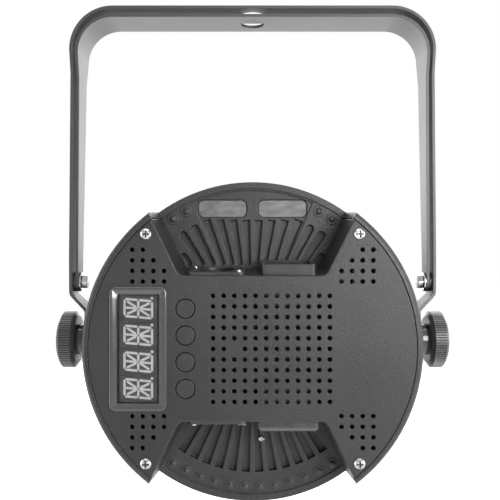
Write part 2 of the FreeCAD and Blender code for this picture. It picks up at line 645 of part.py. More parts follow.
def make_knob(side):
    bevel_at = f"({KNOB_AT} + hub_length)"
    grip_at = f"({bevel_at} + knob_bevel)"
    crown_at = f"({grip_at} + knob_grip)"
    seat_at = f"({crown_at} - cap_seat)"
    cap_end = f"({crown_at} + cap_proud)"
    stud_in = f"({PAD_AT} - insert_length + stud_short)"
    stud_out = f"({grip_at} + knob_grip / 2)"
    profile = [("stud_radius", KNOB_AT), ("hub_radius", KNOB_AT), ("hub_radius", bevel_at),
               ("knob_radius - bevel_step", bevel_at), ("knob_radius", grip_at),
               ("knob_radius", f"{crown_at} - grip_bevel"), ("knob_radius - grip_bevel", crown_at),
               ("cap_radius + cap_fit", crown_at), ("cap_radius + cap_fit", seat_at), ("0", seat_at),
               ("0", stud_out), ("stud_radius", stud_out)]
    body = turned(f"{side}_knob_body", profile)
    doc.recompute()
    notch_half = "(knob_radius * tan(180 / knob_ridges) * ridge_share)"
    notch_top = "knob_radius + ridge_depth / 2"
    corners = [("-" + notch_half, notch_top), ("0", "knob_radius - ridge_depth"), (notch_half, notch_top)]
    notch = outline(body, "XZ_Plane", corners, f"{side}_notch")
    bind(notch, AttachmentOffset__Base__z=f"-{bevel_at}")
    pocket = body.newObject("PartDesign::Pocket", f"{side}_notch_cut")
    pocket.Profile = notch
    pocket.Reversed = False
    bind(pocket, Length="knob_bevel + knob_grip + overcut")
    doc.recompute()
    ring = body.newObject("PartDesign::PolarPattern", f"{side}_ridges")
    ring.Originals = [pocket]
    ring.Axis = (plane_of(body, "Y_Axis"), [""])
    ring.Angle = 360
    bind(ring, Occurrences="knob_ridges")
    body.Tip = ring
    axis = ("0", "0", "-tilt_drop")
    label(body, f"{side}_knob", axis, SIDES[side])
    cap = turned(f"{side}_cap_body",
                 [("0", seat_at), ("cap_radius", seat_at), ("cap_radius", cap_end), ("0", cap_end)])
    soften(cap, "Fillet", "cap_round", ring_at("cap_radius", cap_end), f"{side}_cap_edge")
    label(cap, f"{side}_knob_cap", axis, SIDES[side])
    stud = turned(f"{side}_stud_body",
                  [("0", stud_in), ("stud_radius", stud_in), ("stud_radius", stud_out), ("0", stud_out)])
    label(stud, f"{side}_knob_stud", axis, SIDES[side])
    rubber = turned(f"{side}_rubber",
                    tube_profile(EYE_OPEN, "rubber_radius", LOWER_OUT, f"{LOWER_OUT} + rubber_thick"))
    label(rubber, f"{side}_rubber_washer", axis, SIDES[side])


def make_inserts():
    insert = turned("insert",
                    tube_profile("stud_radius + stud_fit", "insert_radius", f"{PAD_AT} - insert_length",
                                 PAD_AT))
    side_pair("knob_inserts", insert, "-tilt_drop")


# ---- the housing and the rear cover ----

def plug(name, side, grow, start, depth):
    """The space of one recess, grown by a wall, from a plane in the head frame."""
    edge = f"(recess_edge - {grow})"
    half = f"(recess_half - {grow} * tan(recess_flare) + {grow} / cos(recess_flare))"
    far = "cutter_reach"
    far_half = f"({half} + ({far} - {edge}) * tan(recess_flare))"
    sign = "" if side > 0 else "-"
    corners = [("-" + half, sign + edge), (half, sign + edge), (far_half, sign + far),
               ("-" + far_half, sign + far)]
    body = slab(name, corners, start, depth, taper="-recess_draft")
    doc.recompute()
    inner = size(edge)

    def chosen(edge_line):
        ends = [vertex.Point for vertex in edge_line.Vertexes]
        deep = len(ends) == 2 and abs(ends[0].y - ends[1].y) > size(depth) / 2
        return deep and all(abs(abs(point.z) - inner) < size("recess_edge") / 4 for point in ends)
    return soften(body, "Fillet", f"recess_corner + {grow}", chosen, name + "_corners")


def plugs(name, grow, start, depth):
    return [plug(f"{name}_{word}", side, grow, start, depth) for word, side in (("top", 1), ("bottom", -1))]


def groove(angle, inner, outer, round_end):
    """One radial groove cutter in the head frame; angle is from +Z, towards +X."""
    narrow, wide = size("groove_narrow") / 2, size("groove_wide") / 2
    full = size("groove_end") - size("groove_start")
    direction = FreeCAD.Vector(math.sin(angle), 0, math.cos(angle))
    across = FreeCAD.Vector(math.cos(angle), 0, -math.sin(angle))
    start = FreeCAD.Vector(0, size("floor_depth - rim_proud"), 0)
    depth = FreeCAD.Vector(0, size("groove_deep + rim_proud"), 0)

    def half_at(radius):
        return narrow + (wide - narrow) * (radius - size("groove_start")) / full

    ends = [(inner, -1), (outer, -1), (outer, 1), (inner, 1)]
    points = [start + direction * radius + across * (side * half_at(radius)) for radius, side in ends]
    solid = Part.Face(Part.makePolygon(points + points[:1])).extrude(depth)
    tips = [inner, outer] if round_end else [inner]
    for radius in tips:
        tip = Part.makeCylinder(half_at(radius), depth.y, start + direction * radius,
                                FreeCAD.Vector(0, 1, 0))
        solid = solid.fuse(tip)
    return solid


def floor_grooves():
    """Cutters of every groove: a fan of long ones in each recess."""
    step, start = size("fin_step"), size("groove_start")
    count = int(size("fan_grooves"))
    cutters = []
    for number in range(count):
        for side in (-1, 1):
            angle = math.radians(side * (number + 0.5) * step)
            inner = (start + size("groove_narrow") / 2) / math.cos(angle)
            cutters.append(groove(math.pi + angle, inner, size("groove_end"), False))
            in_fan = abs(math.degrees(angle)) < size("fan_angle")
            outer = size("fan_top") / math.cos(angle) if in_fan else size("groove_end - groove_wide / 2")
            cutters.append(groove(angle, inner, outer, not in_fan))
    for side in (-1, 1):
        angle = math.radians(side * (count + 0.5) * step)
        short = (start + size("groove_narrow") / 2) / math.cos(angle)
        cutters.append(groove(angle, short, short + size("groove_wide"), True))
    item = doc.addObject("Part::Feature", "floor_grooves")
    item.Shape = Part.makeCompound(cutters)
    return item


def dimples():
    """A low ring with a domed bump, on the circle of dimples."""
    step, circle = size("fin_step"), size("dimple_circle")
    top_from = size("fan_angle")
    angles = []
    for number in range(int(size("fan_grooves"))):
        angle = (number + 0.5) * step
        angles += [180 - angle, 180 + angle]
        if angle > top_from:
            angles += [-angle, angle]
    floor = size("floor_depth")
    back = FreeCAD.Vector(0, -1, 0)
    radius, rise = size("bump_radius"), size("bump_rise")
    ball = (radius * radius + rise * rise) / (2 * rise)
    root = size("overcut")
    solids = []
    for angle in angles:
        turn = math.radians(angle)
        foot = FreeCAD.Vector(circle * math.sin(turn), floor, circle * math.cos(turn))
        ring = Part.makeCylinder(size("dimple_radius"), size("dimple_rise") + root, foot - back * root, back)
        crest = foot + back * size("dimple_rise")
        bump = Part.makeSphere(ball, crest - back * (ball - rise))
        bump = bump.common(Part.makeCylinder(radius, rise + root, crest - back * root, back))
        solids.append(ring.fuse(bump))
    item = doc.addObject("Part::Feature", "floor_dimples")
    item.Shape = Part.makeCompound(solids)
    return item


def posts(name, places, start, length):
    """Round posts along Y at bound places."""
    return [rod(f"{name}_{number}", "post_radius", length, (across, start, up), "y")
            for number, (across, up) in enumerate(places)]


SCREW_PLACES = [(f"{sx}screw_x", f"{sz}screw_z") for sx in ("-", "") for sz in ("-", "")]


def on_circle(circle, count, first="0"):
    """Places on a circle round the Y axis, from an angle in degrees."""
    total = int(round(size(count)))
    turns = [size(first) + 360 * number / total for number in range(total)]
    return [(f"{circle} * ({math.sin(math.radians(turn)):.9f})",
             f"{circle} * ({math.cos(math.radians(turn)):.9f})")
            for turn in turns]


def front_screws():
    return on_circle("front_screw_circle", "front_screws", "front_screw_turn")


def make_housing():
    inner = "(body_radius - wall)"
    rim_at = "(floor_depth - rim_proud)"
    seat = "body_radius - wall + mask_seat"
    upper = turned("upper_wall", tube_profile(inner, "body_radius", "-rear_depth", FLOOR_FRONT))
    soften(upper, "Fillet", "rim_round", ring_at("body_radius", "-rear_depth"), "upper_round")
    cup = turned("cup",
                 [("0", "floor_depth"), (inner, "floor_depth"), (inner, rim_at), ("body_radius", rim_at),
                  ("body_radius", "front_depth"), (seat, "front_depth"), (seat, MASK_BACK),
                  (inner, MASK_BACK), (inner, FLOOR_FRONT), ("0", FLOOR_FRONT)])
    soften(cup, "Fillet", "rim_round", ring_at("body_radius", rim_at), "low_round")
    spaces = plugs("wall_gap", "0", "-(rear_depth + overcut)", f"rear_depth + overcut + {rim_at}")
    walls = cut("walls_cut", upper, spaces)
    mid_floor = "(floor_depth + floor_thick / 2)"
    cover_posts = posts("cover_post", SCREW_PLACES, COVER_INSIDE, f"{mid_floor} - {COVER_INSIDE}")
    front_posts = posts("front_post", front_screws(), mid_floor, f"{MASK_BACK} - {mid_floor}")
    bosses = []
    for side, start in (("left", f"-{PAD_AT}"), ("right", f"{PAD_AT} - insert_length - boss_floor")):
        bosses.append(rod(f"{side}_boss", "boss_radius", "insert_length + boss_floor",
                          (start, "0", "body_drop"), "x"))
    solid = join("housing_solid", [cup, walls] + cover_posts + front_posts + bosses + [dimples()])
    tools = []
    for side, start in (("left", f"-{PAD_AT} - overcut"), ("right", f"{PAD_AT} - insert_length")):
        tools.append(rod(f"{side}_insert_bore", "insert_radius", "insert_length + overcut",
                         (start, "0", "body_drop"), "x"))
    tools.append(rod("wire_bore", "wire_hole", "floor_thick + 2 * overcut",
                     ("0", "floor_depth - overcut", "0"), "y"))
    screw_hole = "(screw_length - cover_thick + tap_spare)"
    for number, (across, up) in enumerate(SCREW_PLACES):
        tools.append(rod(f"cover_tap_{number}", "screw_shank", screw_hole, (across, COVER_INSIDE, up), "y"))
    for number, (across, up) in enumerate(front_screws()):
        tools.append(rod(f"front_tap_{number}", "screw_shank", screw_hole,
                         (across, f"{MASK_BACK} - {screw_hole}", up), "y"))
    for number, side in enumerate(("-", "")):
        pocket = rounded_slab(f"label_pocket_{number}",
                              "(label_wide + 2 * label_fit)", "(label_tall + 2 * label_fit)",
                              rim_at, "rim_proud + fan_step + label_sink",
                              "label_corner + label_fit", (f"{side}label_x", "label_z"))
        tools.append(pocket)
    near_half, far_half = "groove_start * tan(fan_angle)", f"{inner} * tan(fan_angle)"
    wedge = slab("fan_wedge",
                 [("-" + near_half, "groove_start"), (near_half, "groove_start"),
                  (far_half, inner), ("-" + far_half, inner)],
                 rim_at, "rim_proud + fan_step")
    inside = rod("fan_limit", f"{inner} - fan_margin", "floor_thick + overcut",
                 ("0", "floor_depth - overcut", "0"), "y")
    tools.append(common("fan_floor", wedge, inside))
    tools.append(rod("earth_bore", "earth_head / 2", "earth_length + overcut",
                     ("earth_x", "floor_depth - overcut", "-earth_z"), "y"))
    drilled = cut("housing_drilled", solid, tools)
    label(cut("housing_grooved", drilled, [floor_grooves()]), "housing")


def wall_place(across, side, in_head=False):
    """A seat on a recess wall: local +Z leaves the wall, local X stays X."""
    tilt = size("recess_draft")
    turn = FreeCAD.Rotation(FreeCAD.Vector(1, 0, 0), tilt if side > 0 else 180 - tilt)
    sign = "" if side > 0 else "-"
    height = f"{sign}{WALL_MID_Z}"
    if not in_head:
        height = f"{height} + {BODY_Z}"
    return (across, WALL_MID_Y, height), turn


def seat_on_wall(item, across, side, in_head=True):
    at, turn = wall_place(across, side, in_head=in_head)
    return put(item, at, turn)


def vents():
    """Cutters of the round vent holes: the central field and four corner patches."""
    pitch, radius = size("vent_pitch"), size("vent_radius")
    columns, rows = int(size("grid_columns")), int(size("grid_rows"))
    places = []
    for column in range(columns):
        for row in range(rows):
            # one place in the field is left blank
            if not (column == 2 and row == rows // 2):
                places.append((size("grid_offset") + (column - (columns - 1) / 2) * pitch,
                               (row - (rows - 1) / 2) * pitch))
    for side in (-1, 1):
        for up in (-1, 1):
            for row, first in enumerate((0, 0, 1, 2)):
                for column in range(first, 4):
                    places.append((side * (size("patch_x") + column * pitch),
                                   up * (size("patch_z") + row * pitch)))
    start, length = size("-(rear_depth + overcut)"), size("cover_thick + 2 * overcut")
    axis = FreeCAD.Vector(0, 1, 0)
    cutters = [Part.makeCylinder(radius, length, FreeCAD.Vector(x, start, z), axis) for x, z in places]
    item = doc.addObject("Part::Feature", "vent_holes")
    item.Shape = Part.makeCompound(cutters)
    return item


# the four digits and the four buttons, in pitches above the centre
ROWS = (1.5, 0.5, -0.5, -1.5)
BUTTON_PLACES = [("-button_x", f"digit_pitch * ({row})") for row in ROWS]


def latch_slot(name, start, length):
    """The space of the signal output's latch tab, in the connector's frame."""
    return block(name, ("latch_wide + 2 * latch_gap", "latch_tall + 2 * latch_gap", length),
                 ("latch_x - latch_wide / 2 - latch_gap", "-latch_tall / 2 - latch_gap", start))


def make_rear_cover():
    deep = "(rear_depth + floor_depth - floor_play)"
    radius = "(body_radius - wall - cover_fit)"
    plate = rod("cover_plate", radius, "cover_thick", ("0", "-rear_depth", "0"), "y")
    bound_by = rod("cover_bound", radius, deep, ("0", "-rear_depth", "0"), "y")
    tray = common("cover_trays", join("cover_tray_pair", plugs("tray", "recess_wall", "-rear_depth", deep)),
                  bound_by)
    control_posts = []
    for number, (across, up) in enumerate(CONTROL_CORNERS):
        control_posts.append(rod(f"control_post_{number}", "control_post",
                                 f"{CONTROL_BACK} - {COVER_INSIDE} + cover_thick / 2 - board_play",
                                 (across, f"{COVER_INSIDE} - cover_thick / 2", up), "y"))
    blank = cut("cover_blank", join("cover_whole", [plate, tray]),
                plugs("space", "0", "-(rear_depth + overcut)", "rear_depth + overcut + floor_depth"))
    doc.recompute()
    face, reach = -size("rear_depth"), size(radius)

    def at_recess(edge):
        flat = near(edge.BoundBox.YMin, face, BOX_SLACK) and near(edge.BoundBox.YMax, face, BOX_SLACK)
        outside = isinstance(edge.Curve, Part.Circle) and near(edge.Curve.Radius, reach)
        return flat and not outside

    softened = doc.addObject("Part::Fillet", "cover_softened")
    softened.Base = blank
    rounding = size("edge_round")
    chosen = [number for number, edge in enumerate(blank.Shape.Edges, start=1) if at_recess(edge)]
    softened.Edges = [(number, rounding, rounding) for number in chosen]
    body = join("cover_body", [softened] + control_posts)
    tools = [vents()]
    behind, through = "-(rear_depth + overcut)", "cover_thick + 2 * overcut"
    tools.append(rounded_slab("display_hole", "(display_wide - 2 * bezel_neck)",
                              "(display_tall - 2 * bezel_neck)", behind, through,
                              "display_corner - bezel_neck", ("-display_x", "0")))
    for number, (across, up) in enumerate(BUTTON_PLACES):
        tools.append(rod(f"button_hole_{number}", "button_radius + button_gap", through,
                         (across, behind, up), "y"))
    for number, (across, up) in enumerate(SCREW_PLACES):
        tools.append(rod(f"cover_bore_{number}", "screw_shank + wall_fit", through,
                         (across, behind, up), "y"))
    wall_start, wall_reach = "-recess_wall * 3", "recess_wall * 4"
    for name, across, side in (("dmx_in", "-dmx_in_x", 1), ("dmx_out", "-dmx_out_x", -1)):
        openings = [rod(f"{name}_hole", "barrel_radius + wall_fit", wall_reach, ("0", "0", wall_start))]
        for number, (x, y) in enumerate(FLANGE_SCREWS):
            openings.append(rod(f"{name}_tap_{number}", "earth_head / 2", wall_reach, (x, y, wall_start)))
        if side < 0:
            openings.append(latch_slot(f"{name}_slot", wall_start, wall_reach))
        else:
            # the input's flange reaches into the recess's round corner, so that gets a flat seat
            openings.append(block(f"{name}_seat",
                                  ("flange_wide + 2 * wall_fit", "flange_tall + 2 * wall_fit",
                                   "flange_thick + overcut"),
                                  ("-flange_wide / 2 - wall_fit", "-flange_tall / 2 - wall_fit", "0")))
        tools.append(seat_on_wall(join(f"{name}_opening", openings), across, side))
    for name, across, side, wide in (("mains_in", "mains_in_x", 1, "inlet_wide"),
                                     ("mains_out", "mains_out_x", -1, "outlet_wide")):
        hole = block(f"{name}_hole",
                     (f"{wide} + 2 * wall_fit", "mains_tall + 2 * wall_fit", wall_reach),
                     (f"-{wide} / 2 - wall_fit", "-mains_tall / 2 - wall_fit", wall_start))
        tools.append(seat_on_wall(join(f"{name}_opening", [hole]), across, side))
    label(cut("cover_drilled", body, tools), "rear_cover")


CONTROL_CORNERS = [(f"-control_post_{end}", f"{sign}control_post_up")
                   for end in ("out", "in") for sign in ("-", "")]
SUPPLY_CORNERS = [(f"(supply_{end} {inset} standoff_inset)", f"{sign}(supply_half - standoff_inset)")
                  for end, inset in (("left", "+"), ("right", "-")) for sign in ("-", "")]


# ---- screws ----

def screw(name, head, rise, shank, length):
    """A pan-head screw along +Y with a cross recess; its head's underside is at zero."""
    body = turned(name + "_blank",
                  [("0", "0 - " + rise), (head + " * pan_flat", "0 - " + rise),
                   (head, f"0 - {rise} * pan_edge"), (head, "0"), (shank, "0"), (shank, length),
                   ("0", length)])
    slots = []
    for number, (wide, tall) in enumerate((("cross_long", "cross_wide"), ("cross_wide", "cross_long"))):
        slots.append(block(f"{name}_slot{number}",
                           (f"{head} * {wide}", f"{rise} * cross_deep + overcut", f"{head} * {tall}"),
                           (f"0 - {head} * {wide} / 2", f"0 - {rise} - overcut",
                            f"0 - {head} * {tall} / 2")))
    return cut(name, body, slots)


def numbers(places):
    return [(size(across), size(up)) for across, up in places]


def make_screws():
    pan = screw("pan_screw", "screw_head", "screw_rise", "screw_shank", "screw_length")
    rear = -size("rear_depth")
    group("cover_screws", copies(pan, [(x, rear, z) for x, z in numbers(SCREW_PLACES)]))
    front = size("front_depth + bezel_depth - screw_rise")
    flip = FreeCAD.Rotation(FreeCAD.Vector(1, 0, 0), 180)
    ring = numbers(front_screws())
    group("bezel_screws", copies(pan, [(x, front, z) for x, z in ring], flip))
    small = screw("small_screw", "earth_head", "earth_rise", "earth_head / 2", "earth_length")
    earth = (size("earth_x"), size("floor_depth"), -size("earth_z"))
    group("earth_screw", copies(small, [earth]))
    tiny = screw("board_screw", "earth_head", "earth_rise", "earth_head / 2", "board_thick")
    back = size(f"{CONTROL_BACK} + board_thick")
    group("control_screws", copies(tiny, [(x, back, z) for x, z in numbers(CONTROL_CORNERS)], flip))


# ---- display and buttons ----

def make_display():
    front = "(0 - rear_depth - bezel_proud)"
    pane_at = f"{front} + pane_sink"
    neck_wide = "(display_wide - 2 * bezel_neck - 2 * wall_fit)"
    neck_tall = "(display_tall - 2 * bezel_neck - 2 * wall_fit)"
    rim = rounded_slab("bezel_rim", "display_wide", "display_tall", front, "bezel_proud", "display_corner")
    doc.recompute()
    crest = size(front)

    def crest_edge(edge):
        return near(edge.BoundBox.YMin, crest) and near(edge.BoundBox.YMax, crest)
    soften(rim, "Fillet", "bezel_round", crest_edge, "bezel_rim_round")
    neck = rounded_slab("bezel_neck_solid", neck_wide, neck_tall, "-rear_depth",
                        "cover_thick + bezel_behind", "display_corner - bezel_neck")
    half_wide, half_tall = "(display_wide / 2 - bezel_border)", "(display_tall / 2 - bezel_border)"
    sloped = slab("bezel_slope_space",
                  [("-" + half_wide, "-" + half_tall), (half_wide, "-" + half_tall),
                   (half_wide, half_tall), ("-" + half_wide, half_tall)],
                  front, "pane_sink", taper="0 - slope_angle")
    open_wide = f"(2 * ({half_wide} - bezel_slope))"
    open_tall = f"(2 * ({half_tall} - bezel_slope))"
    window = rounded_slab("bezel_window", open_wide, open_tall, f"{front} - overcut", "rear_depth",
                          "window_corner")
    seat = rounded_slab("pane_seat", f"({open_wide} + 2 * pane_ledge)", f"({open_tall} + 2 * pane_ledge)",
                        pane_at, "rear_depth", "window_corner + pane_ledge / 2")
    bezel = cut("bezel", join("bezel_solid", [rim, neck]), [sloped, window, seat])
    label(bezel, "display_bezel", ("-display_x", "0", BODY_Z))
    held = "2 * (pane_ledge - pane_fit)"
    pane = rounded_slab("pane", f"({open_wide} + {held})", f"({open_tall} + {held})", pane_at,
                        "pane_thick", "window_corner + pane_ledge / 2 - pane_fit")
    label(pane, "display_window", ("-display_x", "0", BODY_Z))
    digit = block("digit", ("digit_tall", f"{CONTROL_BACK} - {PANE_BACK} - board_play", "digit_wide"),
                  ("-display_x - digit_tall / 2", f"{PANE_BACK} + board_play", "-digit_wide / 2"))
    group("display_digits", copies(digit, [(0, 0, size("digit_pitch") * row) for row in ROWS]))


def make_buttons():
    disc_at = "(cover_thick + button_slack)"
    disc_end = f"({disc_at} + button_disc)"
    stem = "button_radius / 2"
    profile = [("0", "0"), ("button_radius", "0"), ("button_radius", disc_at), ("button_flange", disc_at),
               ("button_flange", disc_end), (stem, disc_end), (stem, "button_length"),
               ("0", "button_length")]
    for number, (across, up) in enumerate(BUTTON_PLACES, start=1):
        cap = turned(f"button_cap_{number}", profile)
        soften(cap, "Fillet", "button_round", ring_at("button_radius", "0"), f"button_edge_{number}")
        label(cap, f"button_{number}", (across, "-rear_depth", f"{up} + {BODY_Z}"))
    base = block("switch_case", ("switch_side", "switch_body - plunger_rise", "switch_side"),
                 ("-button_x - switch_side / 2", f"{SWITCH_TOP} + plunger_rise", "-switch_side / 2"))
    plunger = rod("switch_plunger", "plunger_radius", "plunger_rise * 1.5",
                  ("-button_x", SWITCH_TOP, "0"), "y")
    switch = join("switch", [base, plunger])
    group("tact_switches", copies(switch, [(0, 0, size("digit_pitch") * row) for row in ROWS]))


# ---- boards and what stands on them ----

def make_boards():
    board = block("control_plate", ("control_left - control_right", "board_thick", "2 * control_half"),
                  ("-control_left", CONTROL_BACK, "-control_half"))
    holes = [rod(f"control_bore_{number}", "earth_head / 2", "board_thick * 3",
                 (across, f"{CONTROL_BACK} - board_thick", up), "y")
             for number, (across, up) in enumerate(CONTROL_CORNERS)]
    label(cut("control_drilled", board, holes), "control_board")
    supply = block("supply_plate", ("supply_right - supply_left", "board_thick", "2 * supply_half"),
                   ("supply_left", SUPPLY_BACK, "-supply_half"))
    label(supply, "power_board", ("supply_left", SUPPLY_BACK, f"-supply_half + {BODY_Z}"))
    standoff = rod("supply_standoff_rod", "standoff_radius", "supply_standoff",
                   ("0", "floor_depth - supply_standoff", "0"), "y")
    group("board_standoffs", copies(standoff, [(x, 0, z) for x, z in numbers(SUPPLY_CORNERS)]))
    middle = "((supply_left + supply_right) / 2)"
    core = block("transformer_core", ("core_wide", "core_rise", "core_tall"),
                 (f"{middle} - core_wide / 2", f"{SUPPLY_BACK} - core_rise", "-core_tall / 2"))
    coil = block("transformer_coil", ("core_wide * coil_share", "coil_rise", "core_tall * coil_share"),
                 (f"{middle} - core_wide * coil_share / 2", f"{SUPPLY_BACK} - coil_rise",
                  "-core_tall * coil_share / 2"))
    label(join("transformer_whole", [core, coil]), "transformer")
    can = rod("capacitor_can", "can_radius", "can_rise", ("0", f"{SUPPLY_BACK} - can_rise", "0"), "y")
    beside = "(can_radius + can_gap)"
    spots = [(f"{middle} - {beside}", "can_up"), (f"{middle} + {beside}", "can_up"),
             (f"{middle} - {beside}", "-can_up")]
    group("capacitors", copies(can, [(x, 0, z) for x, z in numbers(spots)]))
    fuse_x, fuse_low = f"({middle} + {beside})", "-(supply_half - fuse_edge)"
    clip = block("fuse_base", ("fuse_wide", "fuse_wide / 2", "fuse_long"),
                 (f"{fuse_x} - fuse_wide / 2", f"{SUPPLY_BACK} - fuse_wide / 2", fuse_low))
    glass = rod("fuse_tube", "fuse_glass", "fuse_long - 2 * fuse_short",
                (fuse_x, f"{SUPPLY_BACK} - fuse_wide / 2 - fuse_glass / 2",
                 f"{fuse_low} + fuse_short"), "z")
    label(join("fuse_whole", [clip, glass]), "fuse_holder")


# ---- the light engine ----

def lamp_places():
    """The middle lamp and its rings, six more lamps in each ring than in the last."""
    pitch, rings = size("led_pitch"), int(size("led_rings"))
    places = [(0.0, 0.0)]
    for ring in range(1, rings + 1):
        for number in range(6 * ring):
            turn = 2 * math.pi * number / (6 * ring)
            places.append((ring * pitch * math.sin(turn), ring * pitch * math.cos(turn)))
    return places


def make_light_engine():
    flange_at = f"({LED_BOARD_FRONT} + led_base)"
    lamp = turned("lamp", [("0", LED_BOARD_FRONT), ("led_radius + led_flange", LED_BOARD_FRONT),
                           ("led_radius + led_flange", flange_at), ("led_radius", flange_at),
                           ("led_radius", LED_TOP), ("0", LED_TOP)])
    soften(lamp, "Fillet", "led_round", ring_at("led_radius", LED_TOP), "lamp_dome")
    group("leds", copies(lamp, [(x, 0, z) for x, z in lamp_places()]))
    label(rod("lamp_board", "led_board_radius", "board_thick", along="y"), "led_board",
          ("0", LED_BOARD_BACK, BODY_Z), TURNS["y"])
    blank = rod("mask_blank", "body_radius - wall + mask_seat - mask_fit", "mask_thick",
                ("0", MASK_BACK, "0"), "y")
    radius, axis = size("led_radius + led_fit"), FreeCAD.Vector(0, 1, 0)
    start, length = size(f"{MASK_BACK} - overcut"), size("mask_thick + 2 * overcut")
    holes = [Part.makeCylinder(radius, length, FreeCAD.Vector(x, start, z), axis) for x, z in lamp_places()]
    holes += [Part.makeCylinder(size("screw_shank + wall_fit"), length, FreeCAD.Vector(x, start, z), axis)
              for x, z in numbers(front_screws())]
    lamp_holes = doc.addObject("Part::Feature", "lamp_holes")
    lamp_holes.Shape = Part.makeCompound(holes)
    label(cut("mask_drilled", blank, [lamp_holes]), "led_mask")
    post = rod("lamp_post", "standoff_radius", f"{LED_BOARD_BACK} - {FLOOR_FRONT}", ("0", FLOOR_FRONT, "0"),
               "y")
    spots = numbers(on_circle("led_post_circle", "led_posts"))
    group("led_standoffs", copies(post, [(x, 0, z) for x, z in spots]))
    ring = turned("front_ring",
                  tube_profile("bezel_lip", "body_radius", "front_depth", "front_depth + bezel_depth"))
    soften(ring, "Fillet", "front_round", ring_at("body_radius", "front_depth + bezel_depth"),
           "front_ring_round")
    soften(ring, "Chamfer", "lip_chamfer", ring_at("bezel_lip", "front_depth + bezel_depth"),
           "front_ring_lip")
    bores = []
    for number, (across, up) in enumerate(front_screws()):
        bores.append(rod(f"ring_bore_{number}", "screw_shank + wall_fit", "bezel_depth * 2",
                         (across, "front_depth - overcut", up), "y"))
        bores.append(rod(f"ring_sink_{number}", "screw_head + wall_fit", "bezel_depth",
                         (across, "front_depth + bezel_depth - screw_rise", up), "y"))
    label(cut("ring_drilled", ring, bores), "front_bezel")


# ---- connectors, each along its own +Z, with the recess wall's face at zero ----

def place_connector(item, name, across, side):
    at, turn = wall_place(across, side)
    item.Label = name
    put(item, at, turn)
    finished.append(item)
    return item


def plate(name, wide, tall, thick, corner):
    """A flat plate with round corners on the XY plane, centred."""
    body = doc.addObject("PartDesign::Body", name)
    corners = [(f"-{wide} / 2", f"-{tall} / 2"), (f"{wide} / 2", f"-{tall} / 2"),
               (f"{wide} / 2", f"{tall} / 2"), (f"-{wide} / 2", f"{tall} / 2")]
    sketch = outline(body, "XY_Plane", corners, name + "_outline")
    pad = body.newObject("PartDesign::Pad", name + "_pad")
    pad.Profile = sketch
    bind(pad, Length=thick)
    body.Tip = pad

    def upright(edge):
        ends = [vertex.Point for vertex in edge.Vertexes]
        return len(ends) == 2 and near(ends[0].x, ends[1].x) and near(ends[0].y, ends[1].y)
    return soften(body, "Fillet", corner, upright, name + "_corners")


FLANGE_SCREWS = [("-flange_screw_x", "flange_screw_y"), ("flange_screw_x", "-flange_screw_y")]


def pin_spots(circle):
    """Three pins: two level ones and one below them."""
    return [(f"-{circle}", "0"), (circle, "0"), ("0", circle)]


def make_signal(name, across, side, female):
    flange = plate(f"{name}_flange", "flange_wide", "flange_tall", "flange_thick", "flange_corner")
    barrel = rod(f"{name}_barrel", "barrel_radius", "barrel_length + flange_thick",
                 ("0", "0", "-barrel_length"))
    mouth = ("0", "0", "flange_thick - plug_depth")
    tools = []
    for number, (x, y) in enumerate(FLANGE_SCREWS):
        tools.append(rod(f"{name}_screw_hole_{number}", "earth_head / 2", "flange_thick * 3",
                         (x, y, "-flange_thick")))
    if female:
        ring = cut(f"{name}_ring", rod(f"{name}_ring_out", "barrel_bore", "plug_depth + overcut", mouth),
                   [rod(f"{name}_ring_in", "core_radius", "plug_depth + 3 * overcut",
                        ("0", "0", "flange_thick - plug_depth - overcut"))])
        tools.append(ring)
        for number, (x, y) in enumerate(pin_spots("pin_circle")):
            tools.append(rod(f"{name}_socket_{number}", "pin_radius + pin_fit", "plug_depth + overcut",
                             (x, y, mouth[2])))
        tools.append(latch_slot(f"{name}_latch_slot", "-flange_thick", "flange_thick * 3"))
    else:
        tools.append(rod(f"{name}_bore", "barrel_bore", "plug_depth + overcut", mouth))
    place_connector(cut(f"{name}_cut", join(f"{name}_solid", [flange, barrel]), tools), name, across, side)
    if female:
        tab = block(f"{name}_tab", ("latch_wide", "latch_tall", "latch_rise + flange_thick + recess_wall"),
                    ("latch_x - latch_wide / 2", "-latch_tall / 2", "-recess_wall"))
        place_connector(join(f"{name}_latch_whole", [tab]), "dmx_latch", across, side)
    else:
        pin = rod(f"{name}_pin", "pin_radius", "pin_length", mouth)
        doc.recompute()
        at, turn = wall_place(across, side)
        pins = copies(pin, [(size(x), size(y), 0) for x, y in pin_spots("pin_circle")])
        item = doc.addObject("Part::Feature", f"{name}_pins_group")
        item.Shape = Part.makeCompound(pins)
        place_connector(item, f"{name}_pins", across, side)


def make_flange_screws():
    pattern = screw("flange_screw", "earth_head", "earth_rise", "earth_head / 2",
                    "flange_thick + recess_wall")
    doc.recompute()
    stand = FreeCAD.Rotation(FreeCAD.Vector(1, 0, 0), -90)
    solids = []
    for across, side in (("-dmx_in_x", 1), ("-dmx_out_x", -1)):
        at, turn = wall_place(across, side, in_head=True)
        seat = FreeCAD.Placement(FreeCAD.Vector(*[size(text) for text in at]), turn)
        for x, y in FLANGE_SCREWS:
            solid = pattern.Shape.copy()
            local = FreeCAD.Placement(FreeCAD.Vector(size(x), size(y), size("flange_thick")), stand)
            solid.Placement = seat.multiply(local).multiply(solid.Placement)
            solids.append(solid)
    group("flange_screws", solids)


